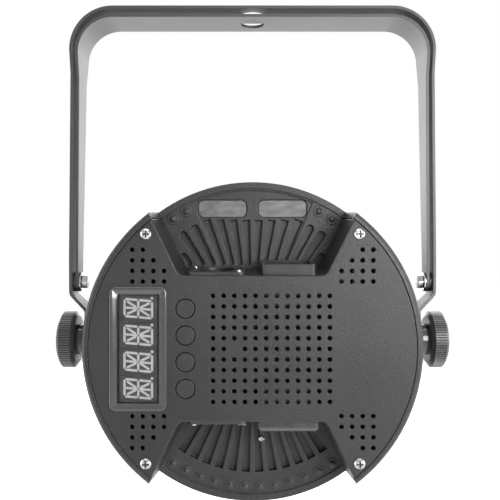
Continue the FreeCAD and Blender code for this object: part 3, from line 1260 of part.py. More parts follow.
def make_mains():
    shell = plate("inlet_shell", "inlet_wide", "mains_tall", "mains_deep + mains_proud",
                  "shell_corner")
    put(shell, ("0", "0", "-mains_deep"))
    room = block("inlet_room", ("inlet_room_wide", "inlet_room_tall", "inlet_room_deep + overcut"),
                 ("-inlet_room_wide / 2", "-inlet_room_tall / 2", "mains_proud - inlet_room_deep"))
    place_connector(cut("inlet_cut", shell, [room]), "power_inlet", "mains_in_x", 1)
    blades = []
    for x, y in (("-blade_pitch", "0"), ("0", "blade_pitch / 2"), ("blade_pitch", "0")):
        low = (f"{x} - blade_wide / 2", f"{y} - blade_tall / 2", "mains_proud - inlet_room_deep")
        blades.append(block(f"blade_{len(blades)}", ("blade_wide", "blade_tall", "blade_length"), low))
    pack = doc.addObject("Part::Compound", "blade_set")
    pack.Links = blades
    place_connector(pack, "power_inlet_blades", "mains_in_x", 1)
    case = plate("outlet_shell", "outlet_wide", "mains_tall", "mains_deep + mains_proud",
                  "shell_corner")
    put(case, ("0", "0", "-mains_deep"))
    doc.recompute()
    face = size("mains_deep + mains_proud")

    def outer_edge(edge):
        return near(edge.BoundBox.ZMin, face) and near(edge.BoundBox.ZMax, face)
    case.Placement = FreeCAD.Placement()
    soften(case, "Chamfer", "outlet_chamfer", outer_edge, "outlet_edges")
    put(case, ("0", "0", "-mains_deep"))
    island = block("outlet_island",
                   ("inlet_room_wide - 2 * moat_in", "inlet_room_tall - 2 * moat_in",
                    "inlet_room_deep + 3 * overcut"),
                   ("-inlet_room_wide / 2 + moat_in", "-inlet_room_tall / 2 + moat_in",
                    "mains_proud - inlet_room_deep - overcut"))
    around = block("outlet_room",
                   ("inlet_room_wide + 2 * moat_out", "inlet_room_tall + 2 * moat_out",
                    "inlet_room_deep + overcut"),
                   ("-inlet_room_wide / 2 - moat_out", "-inlet_room_tall / 2 - moat_out",
                    "mains_proud - inlet_room_deep"))
    moat = cut("outlet_moat", around, [island])
    slots = []
    for x, y in (("-blade_pitch", "0"), ("0", "-blade_pitch / 2"), ("blade_pitch", "0")):
        low = (f"{x} - blade_wide / 2 - pin_fit", f"{y} - blade_tall / 2 - pin_fit",
               "mains_proud - blade_length")
        slots.append(block(f"outlet_slot_{len(slots)}",
                           ("blade_wide + 2 * pin_fit", "blade_tall + 2 * pin_fit",
                            "blade_length + overcut"), low))
    place_connector(cut("outlet_cut", case, [moat] + slots), "power_outlet", "mains_out_x", -1)


def make_labels():
    pieces = []
    for number, side in enumerate(("-", "")):
        piece = rounded_slab(f"label_{number}", "label_wide", "label_tall",
                             "floor_depth + fan_step + label_sink - label_thick",
                             "label_thick", "label_corner", (f"{side}label_x", "label_z"))
        pieces.append(piece)
    pair = doc.addObject("Part::Compound", "label_pair")
    pair.Links = pieces
    label(pair, "label_plates")


make_main_yoke()
make_stand_yoke()
make_pivots()
for knob_side in SIDES:
    make_knob(knob_side)
make_inserts()
make_housing()
make_rear_cover()
make_screws()
make_display()
make_buttons()
make_boards()
make_light_engine()
make_signal("dmx_input", "-dmx_in_x", 1, female=False)
make_signal("dmx_output", "-dmx_out_x", -1, female=True)
make_flange_screws()
make_mains()
make_labels()

doc.recompute()
for item in doc.Objects:
    if "Invalid" in item.State or "Error" in item.State:
        raise RuntimeError(f"{item.Name} failed: {item.State}")
os.makedirs("parts", exist_ok=True)
for item in finished:
    shape = item.Shape
    if shape.isNull() or not shape.isValid():
        raise RuntimeError(f"{item.Label} has no valid shape")
    shape.exportStep(f"parts/{item.Label}.step")
    print(f"{item.Label}: {len(shape.Solids)} solids, {shape.Volume:.1f} mm3")
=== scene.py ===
import bpy
import bmesh
import json
import math
from mathutils import Matrix, Vector

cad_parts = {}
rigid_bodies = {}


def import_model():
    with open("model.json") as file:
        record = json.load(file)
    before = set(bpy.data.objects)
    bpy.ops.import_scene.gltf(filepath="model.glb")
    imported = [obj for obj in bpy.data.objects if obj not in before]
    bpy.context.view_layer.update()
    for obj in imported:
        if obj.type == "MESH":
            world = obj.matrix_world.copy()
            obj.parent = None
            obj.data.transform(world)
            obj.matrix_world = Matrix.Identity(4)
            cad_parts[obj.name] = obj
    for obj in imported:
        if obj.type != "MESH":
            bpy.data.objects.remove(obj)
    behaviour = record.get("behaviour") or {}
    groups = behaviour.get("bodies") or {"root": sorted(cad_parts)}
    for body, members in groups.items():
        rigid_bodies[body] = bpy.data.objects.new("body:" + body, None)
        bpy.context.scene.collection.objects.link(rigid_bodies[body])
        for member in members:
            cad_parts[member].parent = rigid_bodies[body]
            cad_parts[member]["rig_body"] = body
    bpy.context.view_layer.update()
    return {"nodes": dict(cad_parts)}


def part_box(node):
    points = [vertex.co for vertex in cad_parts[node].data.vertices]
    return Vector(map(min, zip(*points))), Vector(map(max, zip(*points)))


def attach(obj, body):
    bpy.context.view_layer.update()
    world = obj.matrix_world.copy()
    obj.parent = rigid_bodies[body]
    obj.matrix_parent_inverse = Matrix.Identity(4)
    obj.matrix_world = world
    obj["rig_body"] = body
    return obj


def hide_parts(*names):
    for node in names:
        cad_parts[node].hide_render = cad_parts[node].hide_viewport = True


# The looks of a slim par can light on a double yoke. Sizes in the dictionaries are
# millimetres unless a note says otherwise; mm brings them to Blender's metres.

mm = 0.001
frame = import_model()
nodes = frame["nodes"]
print("frame loaded:", len(nodes), "nodes")


# ---- small helpers ----

def middleOf(node):
    low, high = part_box(node)
    return (low + high) / 2


def clearSelection():
    if bpy.context.mode != "OBJECT":
        bpy.ops.object.mode_set(mode="OBJECT")
    bpy.ops.object.select_all(action="DESELECT")


def pick(*pieces):
    clearSelection()
    for piece in pieces:
        piece.select_set(True)
    bpy.context.view_layer.objects.active = pieces[0]


def settle(piece):
    # puts the piece's place, turn and scale into its mesh
    pick(piece)
    bpy.ops.object.transform_apply(location=True, rotation=True, scale=True)
    return piece


def applyModifier(piece, kind, **settings):
    pick(piece)
    modifier = piece.modifiers.new(kind.title(), kind)
    for key, value in settings.items():
        setattr(modifier, key, value)
    bpy.ops.object.modifier_apply(modifier=modifier.name)


def paint(piece, finish):
    piece.data.materials.clear()
    piece.data.materials.append(finish)


def chooseEdges(piece, test):
    # leaves edit mode on, with only the edges selected whose two ends pass the test
    bpy.ops.object.mode_set(mode="EDIT")
    bpy.ops.mesh.select_mode(type="EDGE")
    bpy.ops.mesh.select_all(action="DESELECT")
    mesh = bmesh.from_edit_mesh(piece.data)
    for edge in mesh.edges:
        if test(edge.verts[0].co, edge.verts[1].co):
            edge.select_set(True)
    bmesh.update_edit_mesh(piece.data)


# ---- shader expressions ----

class Strand:
    # one socket of a finish; arithmetic on it adds Math nodes
    def __init__(self, finish, socket):
        self.finish = finish
        self.socket = socket

    def maths(self, operation, first, second):
        return self.finish.node("ShaderNodeMath", {"operation": operation}, {0: first, 1: second})

    def __add__(self, other):
        return self.maths("ADD", self, other)

    def __radd__(self, other):
        return self.maths("ADD", other, self)

    def __sub__(self, other):
        return self.maths("SUBTRACT", self, other)

    def __rsub__(self, other):
        return self.maths("SUBTRACT", other, self)

    def __mul__(self, other):
        return self.maths("MULTIPLY", self, other)

    def __rmul__(self, other):
        return self.maths("MULTIPLY", other, self)

    def __gt__(self, other):
        return self.maths("GREATER_THAN", self, other)


class Sheet:
    # a node tree that is filled by one method
    def __init__(self, tree):
        self.tree = tree

    def node(self, kind, settings=None, sockets=None, pick=0):
        made = self.tree.nodes.new(kind)
        for key, value in (settings or {}).items():
            setattr(made, key, value)
        for key, value in (sockets or {}).items():
            self.feed(made.inputs[key], value)
        return Strand(self, made.outputs[pick])

    def feed(self, socket, value):
        if isinstance(value, Strand):
            self.tree.links.new(value.socket, socket)
        elif isinstance(value, tuple) and len(value) == 3 and socket.type == "RGBA":
            socket.default_value = (*value, 1)
        else:
            socket.default_value = value

    def shownRays(self):
        # 1 for rays from the camera, from gloss and through glass, else 0
        rays = [self.node("ShaderNodeLightPath", pick=f"Is {kind} Ray")
                for kind in ("Camera", "Glossy", "Transmission")]
        return rays[0].maths("MAXIMUM", rays[0], rays[1].maths("MAXIMUM", rays[1], rays[2]))


class Finish(Sheet):
    # a material round one Principled shader; constants go straight on its sockets
    def __init__(self, name, **constants):
        self.material = bpy.data.materials.new(name)
        self.material.use_nodes = True
        super().__init__(self.material.node_tree)
        self.shader = self.tree.nodes["Principled BSDF"]
        for socket, value in constants.items():
            self.shader.inputs[socket.replace("_", " ")].default_value = value
        self.place = self.node("ShaderNodeTexCoord", pick="Object")

    def noise(self, scale, detail=2.0, stretch=(1, 1, 1)):
        where = self.place
        if stretch != (1, 1, 1):
            where = self.node("ShaderNodeMapping", sockets={"Vector": self.place, "Scale": stretch})
        return self.node("ShaderNodeTexNoise", sockets={"Vector": where, "Scale": scale, "Detail": detail})

    def blend(self, share, first, second):
        return self.node("ShaderNodeMix", {"data_type": "RGBA"}, {0: share, 6: first, 7: second}, pick=2)

    def spread(self, value, low=0.3, high=0.7):
        # stretches the middle of a noise to run from 0 to 1
        return self.node("ShaderNodeMapRange", sockets={0: value, 1: low, 2: high})

    def axis(self, name):
        return self.node("ShaderNodeSeparateXYZ", sockets={0: self.place}, pick=name)

    def give(self, socket, value):
        self.feed(self.shader.inputs[socket], value)

    def emboss(self, height, deep, strength=1.0, rounding=0.0):
        sockets = {"Height": height, "Distance": deep, "Strength": strength}
        if rounding:
            # moulded edges are a little round, so that they catch the light
            sockets["Normal"] = self.node("ShaderNodeBevel", {"samples": 6}, {"Radius": rounding})
        self.give("Normal", self.node("ShaderNodeBump", sockets=sockets))


# ---- finishes ----

def grainedPlastic(name, look):
    # moulded plastic with a fine spark grain, a little cloudy from handling
    finish = Finish(name, IOR=look["ior"])
    cloud = finish.spread(finish.noise(look["cloudsPerMetre"], 4))
    fleck = finish.spread(finish.noise(look["flecksPerMetre"], 3), 0.35, 0.65)
    finish.give("Base Color", finish.blend(cloud * 0.6 + fleck * 0.4, look["dark"], look["pale"]))
    rough = look["roughness"] + (fleck - 0.5) * 0.16 + (cloud - 0.5) * 0.08
    relief = finish.noise(look["grainPerMetre"], 3) + fleck * 0.35
    if "hubRadius" in look:
        # the knobs' hubs are polished, told by their distance from the tilt axis
        axle = middleOf("left_knob_stud")
        aside, up = finish.axis("Y") - axle.y, finish.axis("Z") - axle.z
        grip = (aside * aside + up * up) > (look["hubRadius"] * mm) ** 2
        rough = grip * rough + (1 - grip) * look["hubRoughness"]
        relief = relief * grip
    finish.give("Roughness", rough)
    finish.emboss(relief, look["grainDeep"] * mm, 0.9, look.get("edge", 0) * mm)
    return finish.material


def paintedSteel(name, look):
    # satin black powder coat: orange peel, sparse pale scuffs and a strong sheen at low angles
    finish = Finish(name, IOR=look["ior"], Coat_IOR=look["coatIor"], Coat_Roughness=look["coatRoughness"],
                    Coat_Weight=look["coat"], Sheen_Weight=look["sheen"],
                    Sheen_Roughness=look["sheenRoughness"])
    cloud = finish.spread(finish.noise(look["cloudsPerMetre"], 3))
    peel = finish.noise(look["peelPerMetre"], 2)
    scuff = finish.noise(look["scuffsPerMetre"], 5, (0.25, 1, 1)) > look["scuffFrom"]
    colour = finish.blend(cloud, look["dark"], look["pale"])
    finish.give("Base Color", finish.blend(scuff * 0.5, colour, look["scuffColour"]))
    finish.give("Roughness", look["roughness"] + (cloud - 0.5) * 0.1 + scuff * 0.1)
    finish.emboss(peel + finish.noise(look["peelPerMetre"] * 3.7, 2) * 0.3, look["peelDeep"] * mm, 0.8)
    return finish.material


def platedMetal(name, look):
    # plated steel or brass: cloudy spangle and fine drawing lines
    finish = Finish(name, Metallic=1.0)
    cloud = finish.spread(finish.noise(look["cloudsPerMetre"], 3))
    lines = finish.noise(look["linesPerMetre"], 2, look["stretch"])
    finish.give("Base Color", finish.blend(cloud, look["dark"], look["pale"]))
    finish.give("Roughness", look["roughness"] + (lines - 0.5) * 0.2 + (cloud - 0.5) * 0.1)
    finish.emboss(lines, look["lineDeep"] * mm, 0.5)
    return finish.material


def smoothPlastic(name, look):
    # small moulded parts: even colour with faint flow marks
    finish = Finish(name, IOR=look.get("ior", 1.5), Coat_Weight=look.get("coat", 0.0))
    flow = finish.spread(finish.noise(look["flowPerMetre"], 4, (1, 1, 2.5)))
    fine = finish.noise(look["finePerMetre"], 2)
    finish.give("Base Color", finish.blend(flow, look["dark"], look["pale"]))
    finish.give("Roughness", look["roughness"] + (fine - 0.5) * 0.12 + (flow - 0.5) * 0.06)
    finish.emboss(fine, look["fineDeep"] * mm, 0.7, look.get("edge", 0) * mm)
    return finish.material


def circuitBoard(name, look):
    # solder mask over copper runs, worked out as wide and narrow squared waves
    finish = Finish(name)
    across = finish.node("ShaderNodeTexWave", {"bands_direction": "X"},
                         {"Vector": finish.place, "Scale": look["runsPerMetre"], "Distortion": 6.0,
                          "Detail": 1.0, "Detail Scale": 0.6}, pick=1)
    along = finish.node("ShaderNodeTexWave", {"bands_direction": "Z"},
                        {"Vector": finish.place, "Scale": look["runsPerMetre"] * 0.7, "Distortion": 5.0,
                         "Detail": 1.0, "Detail Scale": 0.5}, pick=1)
    patch = finish.noise(look["patchesPerMetre"], 1) > 0.5
    run = (across > look["acrossFrom"]) * patch + (along > look["alongFrom"]) * (1 - patch)
    finish.give("Base Color", finish.blend(run, look["mask"], look["run"]))
    finish.give("Roughness", look["roughness"] + finish.noise(look["finePerMetre"], 2) * 0.12)
    finish.emboss(run, look["runTall"] * mm, 0.8)
    return finish.material


def clearResin(name, look):
    # an led's clear dome or the display's pane, faintly streaked from casting
    finish = Finish(name, IOR=look["ior"], Transmission_Weight=look["through"])
    streak = finish.noise(look["streaksPerMetre"], 3, (1, 0.3, 1))
    finish.give("Base Color", finish.blend(streak, look["dark"], look["pale"]))
    finish.give("Roughness", look["roughness"] + streak * 0.05)
    finish.emboss(streak, look["streakDeep"] * mm, 0.4)
    return finish.material


finishes = {
    "housing": grainedPlastic("housingPlastic", {
        "dark": (0.012, 0.012, 0.013), "pale": (0.034, 0.034, 0.036), "roughness": 0.4, "ior": 1.42,
        "cloudsPerMetre": 24, "flecksPerMetre": 900, "grainPerMetre": 2000, "grainDeep": 0.16, "edge": 0.7}),
    "cover": grainedPlastic("coverPlastic", {
        "dark": (0.008, 0.008, 0.009), "pale": (0.028, 0.028, 0.030), "roughness": 0.38, "ior": 1.42,
        "cloudsPerMetre": 20, "flecksPerMetre": 1000, "grainPerMetre": 2000, "grainDeep": 0.16,
        "edge": 0.7}),
    "mask": grainedPlastic("maskPlastic", {
        "dark": (0.012, 0.012, 0.013), "pale": (0.022, 0.022, 0.023), "roughness": 0.6, "ior": 1.45,
        "cloudsPerMetre": 30, "flecksPerMetre": 1200, "grainPerMetre": 2600, "grainDeep": 0.06}),
    "knob": grainedPlastic("knobPlastic", {
        "dark": (0.030, 0.030, 0.031), "pale": (0.075, 0.075, 0.076), "roughness": 0.36, "ior": 1.5,
        "hubRadius": 9.2, "hubRoughness": 0.14, "cloudsPerMetre": 60, "flecksPerMetre": 1500,
        "grainPerMetre": 3000, "grainDeep": 0.05}),
    "cap": platedMetal("capPlate", {
        "dark": (0.09, 0.09, 0.095), "pale": (0.16, 0.16, 0.165), "roughness": 0.4, "cloudsPerMetre": 250,
        "linesPerMetre": 1500, "stretch": (3, 1, 1), "lineDeep": 0.008}),
    "cup": platedMetal("lampCup", {
        "dark": (0.42, 0.41, 0.34), "pale": (0.60, 0.58, 0.48), "roughness": 0.3, "cloudsPerMetre": 400,
        "linesPerMetre": 1500, "stretch": (1, 1, 1), "lineDeep": 0.005}),
    "screw": platedMetal("screwPlate", {
        "dark": (0.24, 0.24, 0.25), "pale": (0.50, 0.50, 0.51), "roughness": 0.22, "cloudsPerMetre": 500,
        "linesPerMetre": 1500, "stretch": (1, 3, 1), "lineDeep": 0.01}),
    # painted shade: a near-black metal that stands in for the shadow inside the screws' cross recesses
    "cross": platedMetal("screwRecessShade", {
        "dark": (0.03, 0.03, 0.03), "pale": (0.10, 0.10, 0.10), "roughness": 0.4, "cloudsPerMetre": 900,
        "linesPerMetre": 1500, "stretch": (1, 1, 1), "lineDeep": 0.01}),
    "yoke": paintedSteel("yokePaint", {
        "dark": (0.014, 0.014, 0.015), "pale": (0.024, 0.024, 0.025), "scuffColour": (0.10, 0.10, 0.10),
        "roughness": 0.58, "ior": 1.45, "coat": 0.6, "coatIor": 1.55, "coatRoughness": 0.5,
        "sheen": 1.0, "sheenRoughness": 0.2, "cloudsPerMetre": 14, "peelPerMetre": 700, "peelDeep": 0.03,
        "scuffsPerMetre": 260, "scuffFrom": 0.72}),
    "zinc": platedMetal("zincPlate", {
        "dark": (0.26, 0.26, 0.27), "pale": (0.52, 0.52, 0.53), "roughness": 0.24, "cloudsPerMetre": 350,
        "linesPerMetre": 1500, "stretch": (1, 3, 1), "lineDeep": 0.01}),
    "blackSteel": smoothPlastic("blackOxide", {
        "dark": (0.022, 0.022, 0.023), "pale": (0.045, 0.045, 0.046), "roughness": 0.35, "ior": 1.8,
        "flowPerMetre": 200, "finePerMetre": 1800, "fineDeep": 0.02}),
    "brass": platedMetal("insertBrass", {
        "dark": (0.52, 0.36, 0.12), "pale": (0.76, 0.56, 0.24), "roughness": 0.32, "cloudsPerMetre": 200,
        "linesPerMetre": 1200, "stretch": (3, 1, 1), "lineDeep": 0.015}),
    "pins": platedMetal("contactPlate", {
        "dark": (0.62, 0.60, 0.56), "pale": (0.85, 0.83, 0.78), "roughness": 0.22, "cloudsPerMetre": 300,
        "linesPerMetre": 1000, "stretch": (1, 1, 0.3), "lineDeep": 0.01}),
    "rubber": smoothPlastic("washerRubber", {
        "dark": (0.012, 0.012, 0.012), "pale": (0.026, 0.026, 0.026), "roughness": 0.75, "ior": 1.45,
        "flowPerMetre": 150, "finePerMetre": 2000, "fineDeep": 0.03}),
    "nylon": smoothPlastic("blackNylon", {
        "dark": (0.014, 0.014, 0.014), "pale": (0.026, 0.026, 0.027), "roughness": 0.4, "ior": 1.53,
        "flowPerMetre": 250, "finePerMetre": 1500, "fineDeep": 0.015}),
    "connector": smoothPlastic("connectorPlastic", {
        "dark": (0.020, 0.020, 0.021), "pale": (0.036, 0.036, 0.037), "roughness": 0.3, "ior": 1.53,
        "flowPerMetre": 120, "finePerMetre": 1700, "fineDeep": 0.012, "edge": 0.3}),
    "latch": smoothPlastic("latchPlastic", {
        "dark": (0.14, 0.14, 0.145), "pale": (0.20, 0.20, 0.205), "roughness": 0.38,
        "flowPerMetre": 300, "finePerMetre": 1600, "fineDeep": 0.012}),
    "button": grainedPlastic("buttonPlastic", {
        "dark": (0.016, 0.016, 0.018), "pale": (0.030, 0.030, 0.032), "roughness": 0.38, "ior": 1.45,
        "cloudsPerMetre": 160, "flecksPerMetre": 1400, "grainPerMetre": 3200, "grainDeep": 0.04}),
    "bezel": smoothPlastic("bezelGloss", {
        "dark": (0.016, 0.016, 0.017), "pale": (0.026, 0.026, 0.027), "roughness": 0.16, "coat": 1.0,
        "flowPerMetre": 60, "finePerMetre": 400, "fineDeep": 0.01, "edge": 1.0}),
    "digit": smoothPlastic("digitFace", {
        "dark": (0.022, 0.022, 0.024), "pale": (0.034, 0.034, 0.036), "roughness": 0.5,
        "flowPerMetre": 120, "finePerMetre": 1500, "fineDeep": 0.01}),
    "segment": smoothPlastic("segmentResin", {
        "dark": (0.44, 0.44, 0.43), "pale": (0.60, 0.60, 0.59), "roughness": 0.35,
        "flowPerMetre": 400, "finePerMetre": 2000, "fineDeep": 0.008}),
    "label": smoothPlastic("labelStock", {
        "dark": (0.08, 0.08, 0.08), "pale": (0.18, 0.18, 0.18), "roughness": 0.45,
        "flowPerMetre": 150, "finePerMetre": 1300, "fineDeep": 0.02}),
    "sleeve": smoothPlastic("capacitorSleeve", {
        "dark": (0.010, 0.016, 0.06), "pale": (0.02, 0.03, 0.10), "roughness": 0.3,
        "flowPerMetre": 200, "finePerMetre": 900, "fineDeep": 0.01}),
    "core": smoothPlastic("coreVarnish", {
        "dark": (0.07, 0.055, 0.045), "pale": (0.14, 0.12, 0.10), "roughness": 0.5,
        "flowPerMetre": 1200, "finePerMetre": 1800, "fineDeep": 0.04}),
    "board": circuitBoard("boardMask", {
        "mask": (0.010, 0.065, 0.028), "run": (0.022, 0.13, 0.055), "roughness": 0.32, "runsPerMetre": 60,
        "patchesPerMetre": 40, "acrossFrom": 0.72, "alongFrom": 0.75, "finePerMetre": 900, "runTall": 0.03}),
    "lamp": clearResin("lampResin", {
        "dark": (0.66, 0.68, 0.70), "pale": (0.82, 0.83, 0.85), "roughness": 0.06, "through": 0.8,
        "ior": 1.53, "streaksPerMetre": 700, "streakDeep": 0.01}),
    "pane": clearResin("clearPane", {
        "dark": (0.80, 0.80, 0.81), "pale": (0.86, 0.86, 0.87), "roughness": 0.02, "through": 1.0,
        "ior": 1.25, "streaksPerMetre": 700, "streakDeep": 0.01}),
}

wears = {
    "main_yoke": "yoke", "stand_yoke": "yoke", "pivot_studs": "zinc", "pivot_spacers": "nylon",
    "pivot_washers": "zinc", "pivot_nuts": "zinc", "left_knob": "knob", "right_knob": "knob",
    "left_knob_cap": "cap", "right_knob_cap": "cap", "left_knob_stud": "zinc", "right_knob_stud": "zinc",
    "left_rubber_washer": "rubber", "right_rubber_washer": "rubber", "knob_inserts": "brass",
    "housing": "housing", "rear_cover": "cover", "front_bezel": "housing", "led_mask": "mask",
    "cover_screws": "screw", "bezel_screws": "blackSteel", "earth_screw": "zinc", "control_screws": "zinc",
    "display_bezel": "bezel", "display_window": "pane", "display_digits": "digit", "button_1": "button",
    "button_2": "button", "button_3": "button", "button_4": "button", "tact_switches": "nylon",
    "control_board": "board", "power_board": "board", "board_standoffs": "nylon", "transformer": "core",
    "capacitors": "sleeve", "fuse_holder": "pins", "leds": "lamp", "led_board": "board",
    "led_standoffs": "nylon", "dmx_input": "connector",
    "dmx_input_pins": "pins", "dmx_output": "connector", "dmx_latch": "latch", "flange_screws": "zinc",
    "power_inlet": "connector", "power_inlet_blades": "pins", "power_outlet": "connector",
    "label_plates": "label",
}
for node, name in wears.items():
    paint(nodes[node], finishes[name])
print("finishes made:", len(finishes))


# ---- softened copies of CAD pieces ----

softenLook = {
    "merge": 0.002,
    "flatAngle": 0.5,  # degrees; faces that meet at less become one
    "edgeAngle": 35,  # degrees; edges sharper than this are bevelled
    "smoothAngle": 48,
    "flatWeight": 80,  # how much large faces decide the shading at their corners
}
softening = {  # new name and bevel width of each node's copy
    "main_yoke": ("mainYoke", 0.15), "stand_yoke": ("standYoke", 0.15), "pivot_nuts": ("pivotNuts", 0.3),
    "pivot_washers": ("pivotWashers", 0.2), "pivot_spacers": ("pivotSpacers", 0.25),
    "button_1": ("button1", 0.3), "button_2": ("button2", 0.3), "button_3": ("button3", 0.3),
    "button_4": ("button4", 0.3), "cover_screws": ("coverScrews", 0.1),
    "left_knob_cap": ("leftKnobCap", 0.2), "right_knob_cap": ("rightKnobCap", 0.2),
    "front_bezel": ("frontBezel", 0.3), "label_plates": ("labelPlates", 0.15),
}


def softened(node, name, width, look):
    piece = nodes[node].copy()
    piece.data = nodes[node].data.copy()
    piece.name = name
    piece.parent = None
    for key in list(piece.keys()):
        del piece[key]
    bpy.context.scene.collection.objects.link(piece)
    pick(piece)
    bpy.ops.object.mode_set(mode="EDIT")
    bpy.ops.mesh.select_all(action="SELECT")
    bpy.ops.mesh.remove_doubles(threshold=look["merge"] * mm)
    bpy.ops.mesh.dissolve_limited(angle_limit=math.radians(look["flatAngle"]))
    bpy.ops.object.mode_set(mode="OBJECT")
    applyModifier(piece, "BEVEL", width=width * mm, segments=2, limit_method="ANGLE",
                  angle_limit=math.radians(look["edgeAngle"]), use_clamp_overlap=True, harden_normals=False)
    pick(piece)
    bpy.ops.object.shade_smooth_by_angle(angle=math.radians(look["smoothAngle"]))
    applyModifier(piece, "WEIGHTED_NORMAL", keep_sharp=True, weight=look["flatWeight"])
    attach(piece, nodes[node]["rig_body"])
    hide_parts(node)
    return piece


copies = {node: softened(node, name, width, softenLook) for node, (name, width) in softening.items()}
print("edges softened:", len(copies))


# ---- painted shade in the screw recesses ----

recessShadeLook = {
    "radius": 1.75,  # faces nearer the screw's axis that are steep or deep belong to the recess and get its painted shade
    "steep": 0.7,  # largest share of the normal along the axis
    "deep": 0.5,  # below the top of the dome
}


def islandsOf(mesh):
    # the places of the corners of each separate solid of a mesh
    welded = bmesh.new()
    welded.from_mesh(mesh)
    bmesh.ops.remove_doubles(welded, verts=welded.verts, dist=softenLook["merge"] * mm)
    seen = set()
    islands = []
    for start in welded.verts:
        if start in seen:
            continue
        seen.add(start)
        waiting, island = [start], []
        while waiting:
            vert = waiting.pop()
            island.append(vert.co.copy())
            for edge in vert.link_edges:
                other = edge.other_vert(vert)
                if other not in seen:
                    seen.add(other)
                    waiting.append(other)
        islands.append(island)
    welded.free()
    return islands


def bounds(points):
    low = Vector([min(point[axis] for point in points) for axis in range(3)])
    high = Vector([max(point[axis] for point in points) for axis in range(3)])
    return low, high


def paintRecessShade(look):
    screws = copies["cover_screws"]
    # the recess faces get this dark second material, which is painted shade where the cross recess lies in
    # shadow
    screws.data.materials.append(finishes["cross"])
    centres = [sum(bounds(island), Vector()) / 2 for island in islandsOf(nodes["cover_screws"].data)]
    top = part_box("cover_screws")[0].y
    for face in screws.data.polygons:
        near = min(centres, key=lambda centre: (centre.xz - face.center.xz).length)
        inside = (near.xz - face.center.xz).length < look["radius"] * mm
        if inside and (abs(face.normal.y) < look["steep"] or face.center.y > top + look["deep"] * mm):
            face.material_index = 1


paintRecessShade(recessShadeLook)
print("screw recesses darkened")


# ---- leds ----

ledLook = {
    "dome": 5,  # radius of the clear dome
    "flange": 5.6,
    "flangeTall": 1.5,
    "segments": 14,
    "rings": 8,
    "smoothAngle": 40,  # degrees
    "cup": 2.4,  # radius of the chips' cup
    "cupFoot": 0.45,  # cup's foot and height as shares of that radius
    "cupTall": 0.8,
    "cupBelow": 6.5,  # cup's middle below the dome's tip
}


def ledDome(look, tall):
    # a round-nosed led along +Y that stands on the origin
    bpy.ops.mesh.primitive_uv_sphere_add(segments=look["segments"], ring_count=look["rings"],
                                         radius=look["dome"] * mm)
    dome = bpy.context.object
    dome.rotation_euler = (math.radians(-90), 0, 0)
    settle(dome)
    bpy.ops.object.mode_set(mode="EDIT")
    bpy.ops.mesh.select_mode(type="VERT")
    bpy.ops.mesh.select_all(action="DESELECT")
    mesh = bmesh.from_edit_mesh(dome.data)
    for vert in mesh.verts:
        vert.select_set(vert.co.y < -0.01 * mm)
    mesh.select_flush_mode()
    bmesh.update_edit_mesh(dome.data)
    bpy.ops.mesh.delete(type="VERT")
    bpy.ops.mesh.select_all(action="SELECT")
    bpy.ops.mesh.region_to_loop()
    flange = look["flange"] / look["dome"]
    straight = tall - look["dome"] - look["flangeTall"]
    bpy.ops.mesh.extrude_region_move(TRANSFORM_OT_translate={"value": (0, -straight * mm, 0)})
    bpy.ops.mesh.extrude_region_move()
    bpy.ops.transform.resize(value=(flange, 1, flange), center_override=(0, 0, 0))
    bpy.ops.mesh.extrude_region_move(TRANSFORM_OT_translate={"value": (0, -look["flangeTall"] * mm, 0)})
    bpy.ops.mesh.edge_face_add()
    bpy.ops.mesh.select_all(action="SELECT")
    bpy.ops.mesh.normals_make_consistent(inside=False)
    bpy.ops.object.mode_set(mode="OBJECT")
    dome.location = (0, (tall - look["dome"]) * mm, 0)
    settle(dome)
    bpy.ops.object.shade_smooth_by_angle(angle=math.radians(look["smoothAngle"]))
    return dome


def ledCup(look):
    # the bright cup that holds the chips, seen through the dome
    bpy.ops.mesh.primitive_cone_add(
        vertices=look["segments"], radius1=look["cup"] * look["cupFoot"] * mm, radius2=look["cup"] * mm,
        depth=look["cup"] * look["cupTall"] * mm, end_fill_type="NGON", rotation=(math.radians(-90), 0, 0))
    return settle(bpy.context.object)


def scatter(piece, places, name, finish):
    # one copy of the piece at each place, joined under the name
    made = []
    for place in places:
        one = piece.copy()
        one.data = piece.data.copy()
        bpy.context.scene.collection.objects.link(one)
        one.location = place
        made.append(settle(one))
    bpy.data.objects.remove(piece)
    pick(*made)
    bpy.ops.object.join()
    whole = bpy.context.object
    whole.name = name
    paint(whole, finish)
    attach(whole, "head")
    return whole


def makeLeds(look):
    boxes = [bounds(island) for island in islandsOf(nodes["leds"].data)]
    tall = (boxes[0][1].y - boxes[0][0].y) / mm
    feet = [Vector(((low.x + high.x) / 2, low.y, (low.z + high.z) / 2)) for low, high in boxes]
    domes = scatter(ledDome(look, tall), feet, "ledDomes", finishes["lamp"])
    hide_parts("leds")
    raised = [foot + Vector((0, (tall - look["cupBelow"]) * mm, 0)) for foot in feet]
    scatter(ledCup(look), raised, "ledCups", finishes["cup"])
    print("leds made:", len(feet))


makeLeds(ledLook)


# ---- digit segments ----

digitLook = {
    "tall": 15.6,  # along the character, which lies on its side
    "wide": 10.2,
    "stroke": 1.2,
    "point": 0.42,  # how far a bar's ends are cut back, as a share of the stroke
    "inset": 0.75,  # the slanting bars' clearance from the others, likewise
    "rootAside": 0.5,  # where the slanting bars start, as shares of that clearance
    "rootUp": 0.8,
    "gap": 0.3,
    "lean": 5,  # degrees
    "thick": 0.06,  # proud of the digit module's face
    "dot": 0.75,
    "dotSides": 24,
    "dotAside": 1.0,  # dot's centre beyond the character's right side
    "pitch": 14,
}


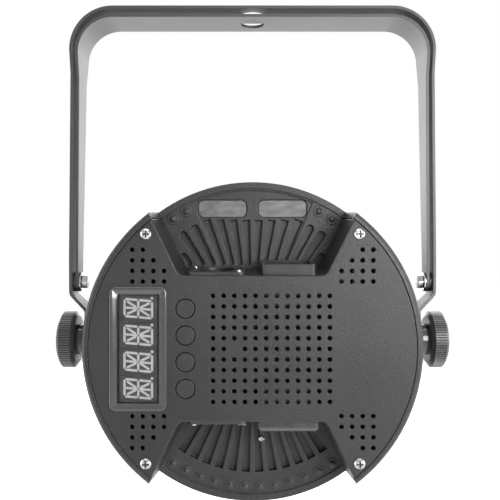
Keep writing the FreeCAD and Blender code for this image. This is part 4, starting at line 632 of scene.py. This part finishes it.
def segmentBar(start, end, look):
    # a flat bar with pointed ends from start to end, in the character's own plane
    along = Vector((end[0] - start[0], 0, end[1] - start[1]))
    length = (along.length - look["gap"] * 2) * mm
    middle = Vector(((start[0] + end[0]) / 2, 0, (start[1] + end[1]) / 2)) * mm
    bpy.ops.mesh.primitive_cube_add(size=1, location=(0, 0, 0))
    bar = bpy.context.object
    bar.scale = (length, look["thick"] * mm, look["stroke"] * mm)
    settle(bar)
    # the four short edges along Y become points
    chooseEdges(bar, lambda first, last: abs(first.x - last.x) < 1e-7 and abs(first.z - last.z) < 1e-7)
    bpy.ops.mesh.bevel(offset=look["stroke"] * look["point"] * mm, segments=1)
    bpy.ops.object.mode_set(mode="OBJECT")
    bar.rotation_euler = (0, -math.atan2(along.z, along.x), 0)
    bar.location = middle
    return settle(bar)


def segmentDigit(look):
    half = (look["wide"] - look["stroke"]) / 2
    top = (look["tall"] - look["stroke"]) / 2
    inset = look["stroke"] * look["inset"]
    spans = []
    for side in (-1, 1):
        spans.append(((-half, side * top), (half, side * top)))
        spans.append(((0, 0), (side * half, 0)))
        spans.append(((0, 0), (0, side * top)))
        for up in (-1, 1):
            spans.append(((side * half, 0), (side * half, up * top)))
            spans.append(((side * inset * look["rootAside"], up * inset * look["rootUp"]),
                          (side * (half - inset), up * (top - inset))))
    bars = [segmentBar(start, end, look) for start, end in spans]
    bpy.ops.mesh.primitive_cylinder_add(
        vertices=look["dotSides"], radius=look["dot"] * mm, depth=look["thick"] * mm,
        rotation=(math.radians(90), 0, 0),
        location=((half + look["stroke"] / 2 + look["dotAside"]) * mm, 0, -top * mm))
    bars.append(settle(bpy.context.object))
    pick(*bars)
    bpy.ops.object.join()
    digit = bpy.context.object
    # the character leans to its right, then lies on its left side
    lean = Matrix.Identity(4)
    lean[0][2] = math.tan(math.radians(look["lean"]))
    digit.data.transform(lean)
    digit.rotation_euler = (0, math.radians(-90), 0)
    return settle(digit)


def makeDigits(look):
    modules = middleOf("display_digits")
    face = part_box("display_digits")[0].y
    first = segmentDigit(look)
    for number, step in enumerate((1.5, 0.5, -0.5, -1.5), start=1):
        digit = first if number == 4 else first.copy()
        if number < 4:
            digit.data = first.data.copy()
            bpy.context.scene.collection.objects.link(digit)
        digit.name = f"digitSegments{number}"
        digit.location = (modules.x, face - look["thick"] / 2 * mm, modules.z + step * look["pitch"] * mm)
        settle(digit)
        paint(digit, finishes["segment"])
        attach(digit, "head")


makeDigits(digitLook)
print("digits made")


# ---- stage, light and camera ----

stageLook = {
    "floorDrop": 620,  # floor below the hanging hole
    "floorSide": 16000,
    "floorGlow": 0.88,  # lifts the paper to white where no shadow falls
    "worldLevel": 0.1,  # what the world gives as light; it shows as white
    "edgePower": 4,  # watts; four strips round the object, level with the rear cover
    "edgeStrip": (300, 900),
    "edgeAway": 900,
    "edgeLevel": -60,
    "cameraX": -1.4, "cameraY": -389, "cameraZ": -132.5,
    "lens": 50,
    "sensor": 36,
    "clipStart": 10,
}
lampLooks = {  # watts, side and place
    "keyLamp": (3.9, 280, (270, -460, -60)),  # right of the camera and above it
    "fillLamp": (0.1, 1200, (-1200, -1100, 200)),
    "backLamp": (200, 5000, (0, 2600, -20)),  # a wide pale wall beyond the object
}


def makeStage(look):
    bpy.ops.mesh.primitive_plane_add(size=look["floorSide"] * mm, location=(0, 0, -look["floorDrop"] * mm))
    floor = bpy.context.object
    floor.name = "studioFloor"
    paper = Finish("floorPaper", Roughness=0.9, Emission_Strength=look["floorGlow"])
    paper.give("Base Color", paper.blend(paper.noise(30, 3), (0.90, 0.90, 0.90), (0.93, 0.93, 0.93)))
    paper.give("Emission Color", paper.blend(paper.shownRays(), (0, 0, 0), (1, 1, 1)))
    paint(floor, paper.material)

    world = bpy.data.worlds.new("studioWorld")
    bpy.context.scene.world = world
    world.use_nodes = True
    around = Sheet(world.node_tree)
    back = world.node_tree.nodes["Background"]
    around.feed(back.inputs["Color"], (1, 1, 1))
    around.feed(back.inputs["Strength"], look["worldLevel"] + around.shownRays() * (1 - look["worldLevel"]))


def makeLamp(name, power, side, place, aim):
    light = bpy.data.lights.new(name, "AREA")
    light.energy = power
    light.shape = "RECTANGLE"
    light.size = side[0]
    light.size_y = side[1]
    lamp = bpy.data.objects.new(name, light)
    lamp.location = place
    lamp.rotation_euler = (aim - place).to_track_quat("-Z", "Y").to_euler()
    lamp.visible_camera = False
    bpy.context.scene.collection.objects.link(lamp)


def makeLamps(look):
    body = middleOf("housing")
    for name, (power, side, place) in lampLooks.items():
        makeLamp(name, power, (side * mm, side * mm), Vector(place) * mm, body)
    short, long = (edge * mm for edge in look["edgeStrip"])
    away = look["edgeAway"] * mm
    strips = {"leftStrip": (-1, 0), "rightStrip": (1, 0), "topStrip": (0, 1), "lowStrip": (0, -1)}
    for name, (aside, up) in strips.items():
        place = Vector((aside * away, look["edgeLevel"] * mm, body.z + up * away))
        makeLamp(name, look["edgePower"], (short, long) if aside else (long, short), place, body)


def makeCamera(look):
    data = bpy.data.cameras.new("standCamera")
    data.lens = look["lens"]
    data.sensor_width = look["sensor"]
    data.clip_start = look["clipStart"] * mm
    camera = bpy.data.objects.new("standCamera", data)
    camera.location = (look["cameraX"] * mm, look["cameraY"] * mm, look["cameraZ"] * mm)
    camera.rotation_euler = (math.radians(90), 0, 0)
    bpy.context.scene.collection.objects.link(camera)
    bpy.context.scene.camera = camera


makeStage(stageLook)
makeLamps(stageLook)
makeCamera(stageLook)
bpy.context.scene.view_settings.view_transform = "Standard"
print("stage, lamps and camera made")
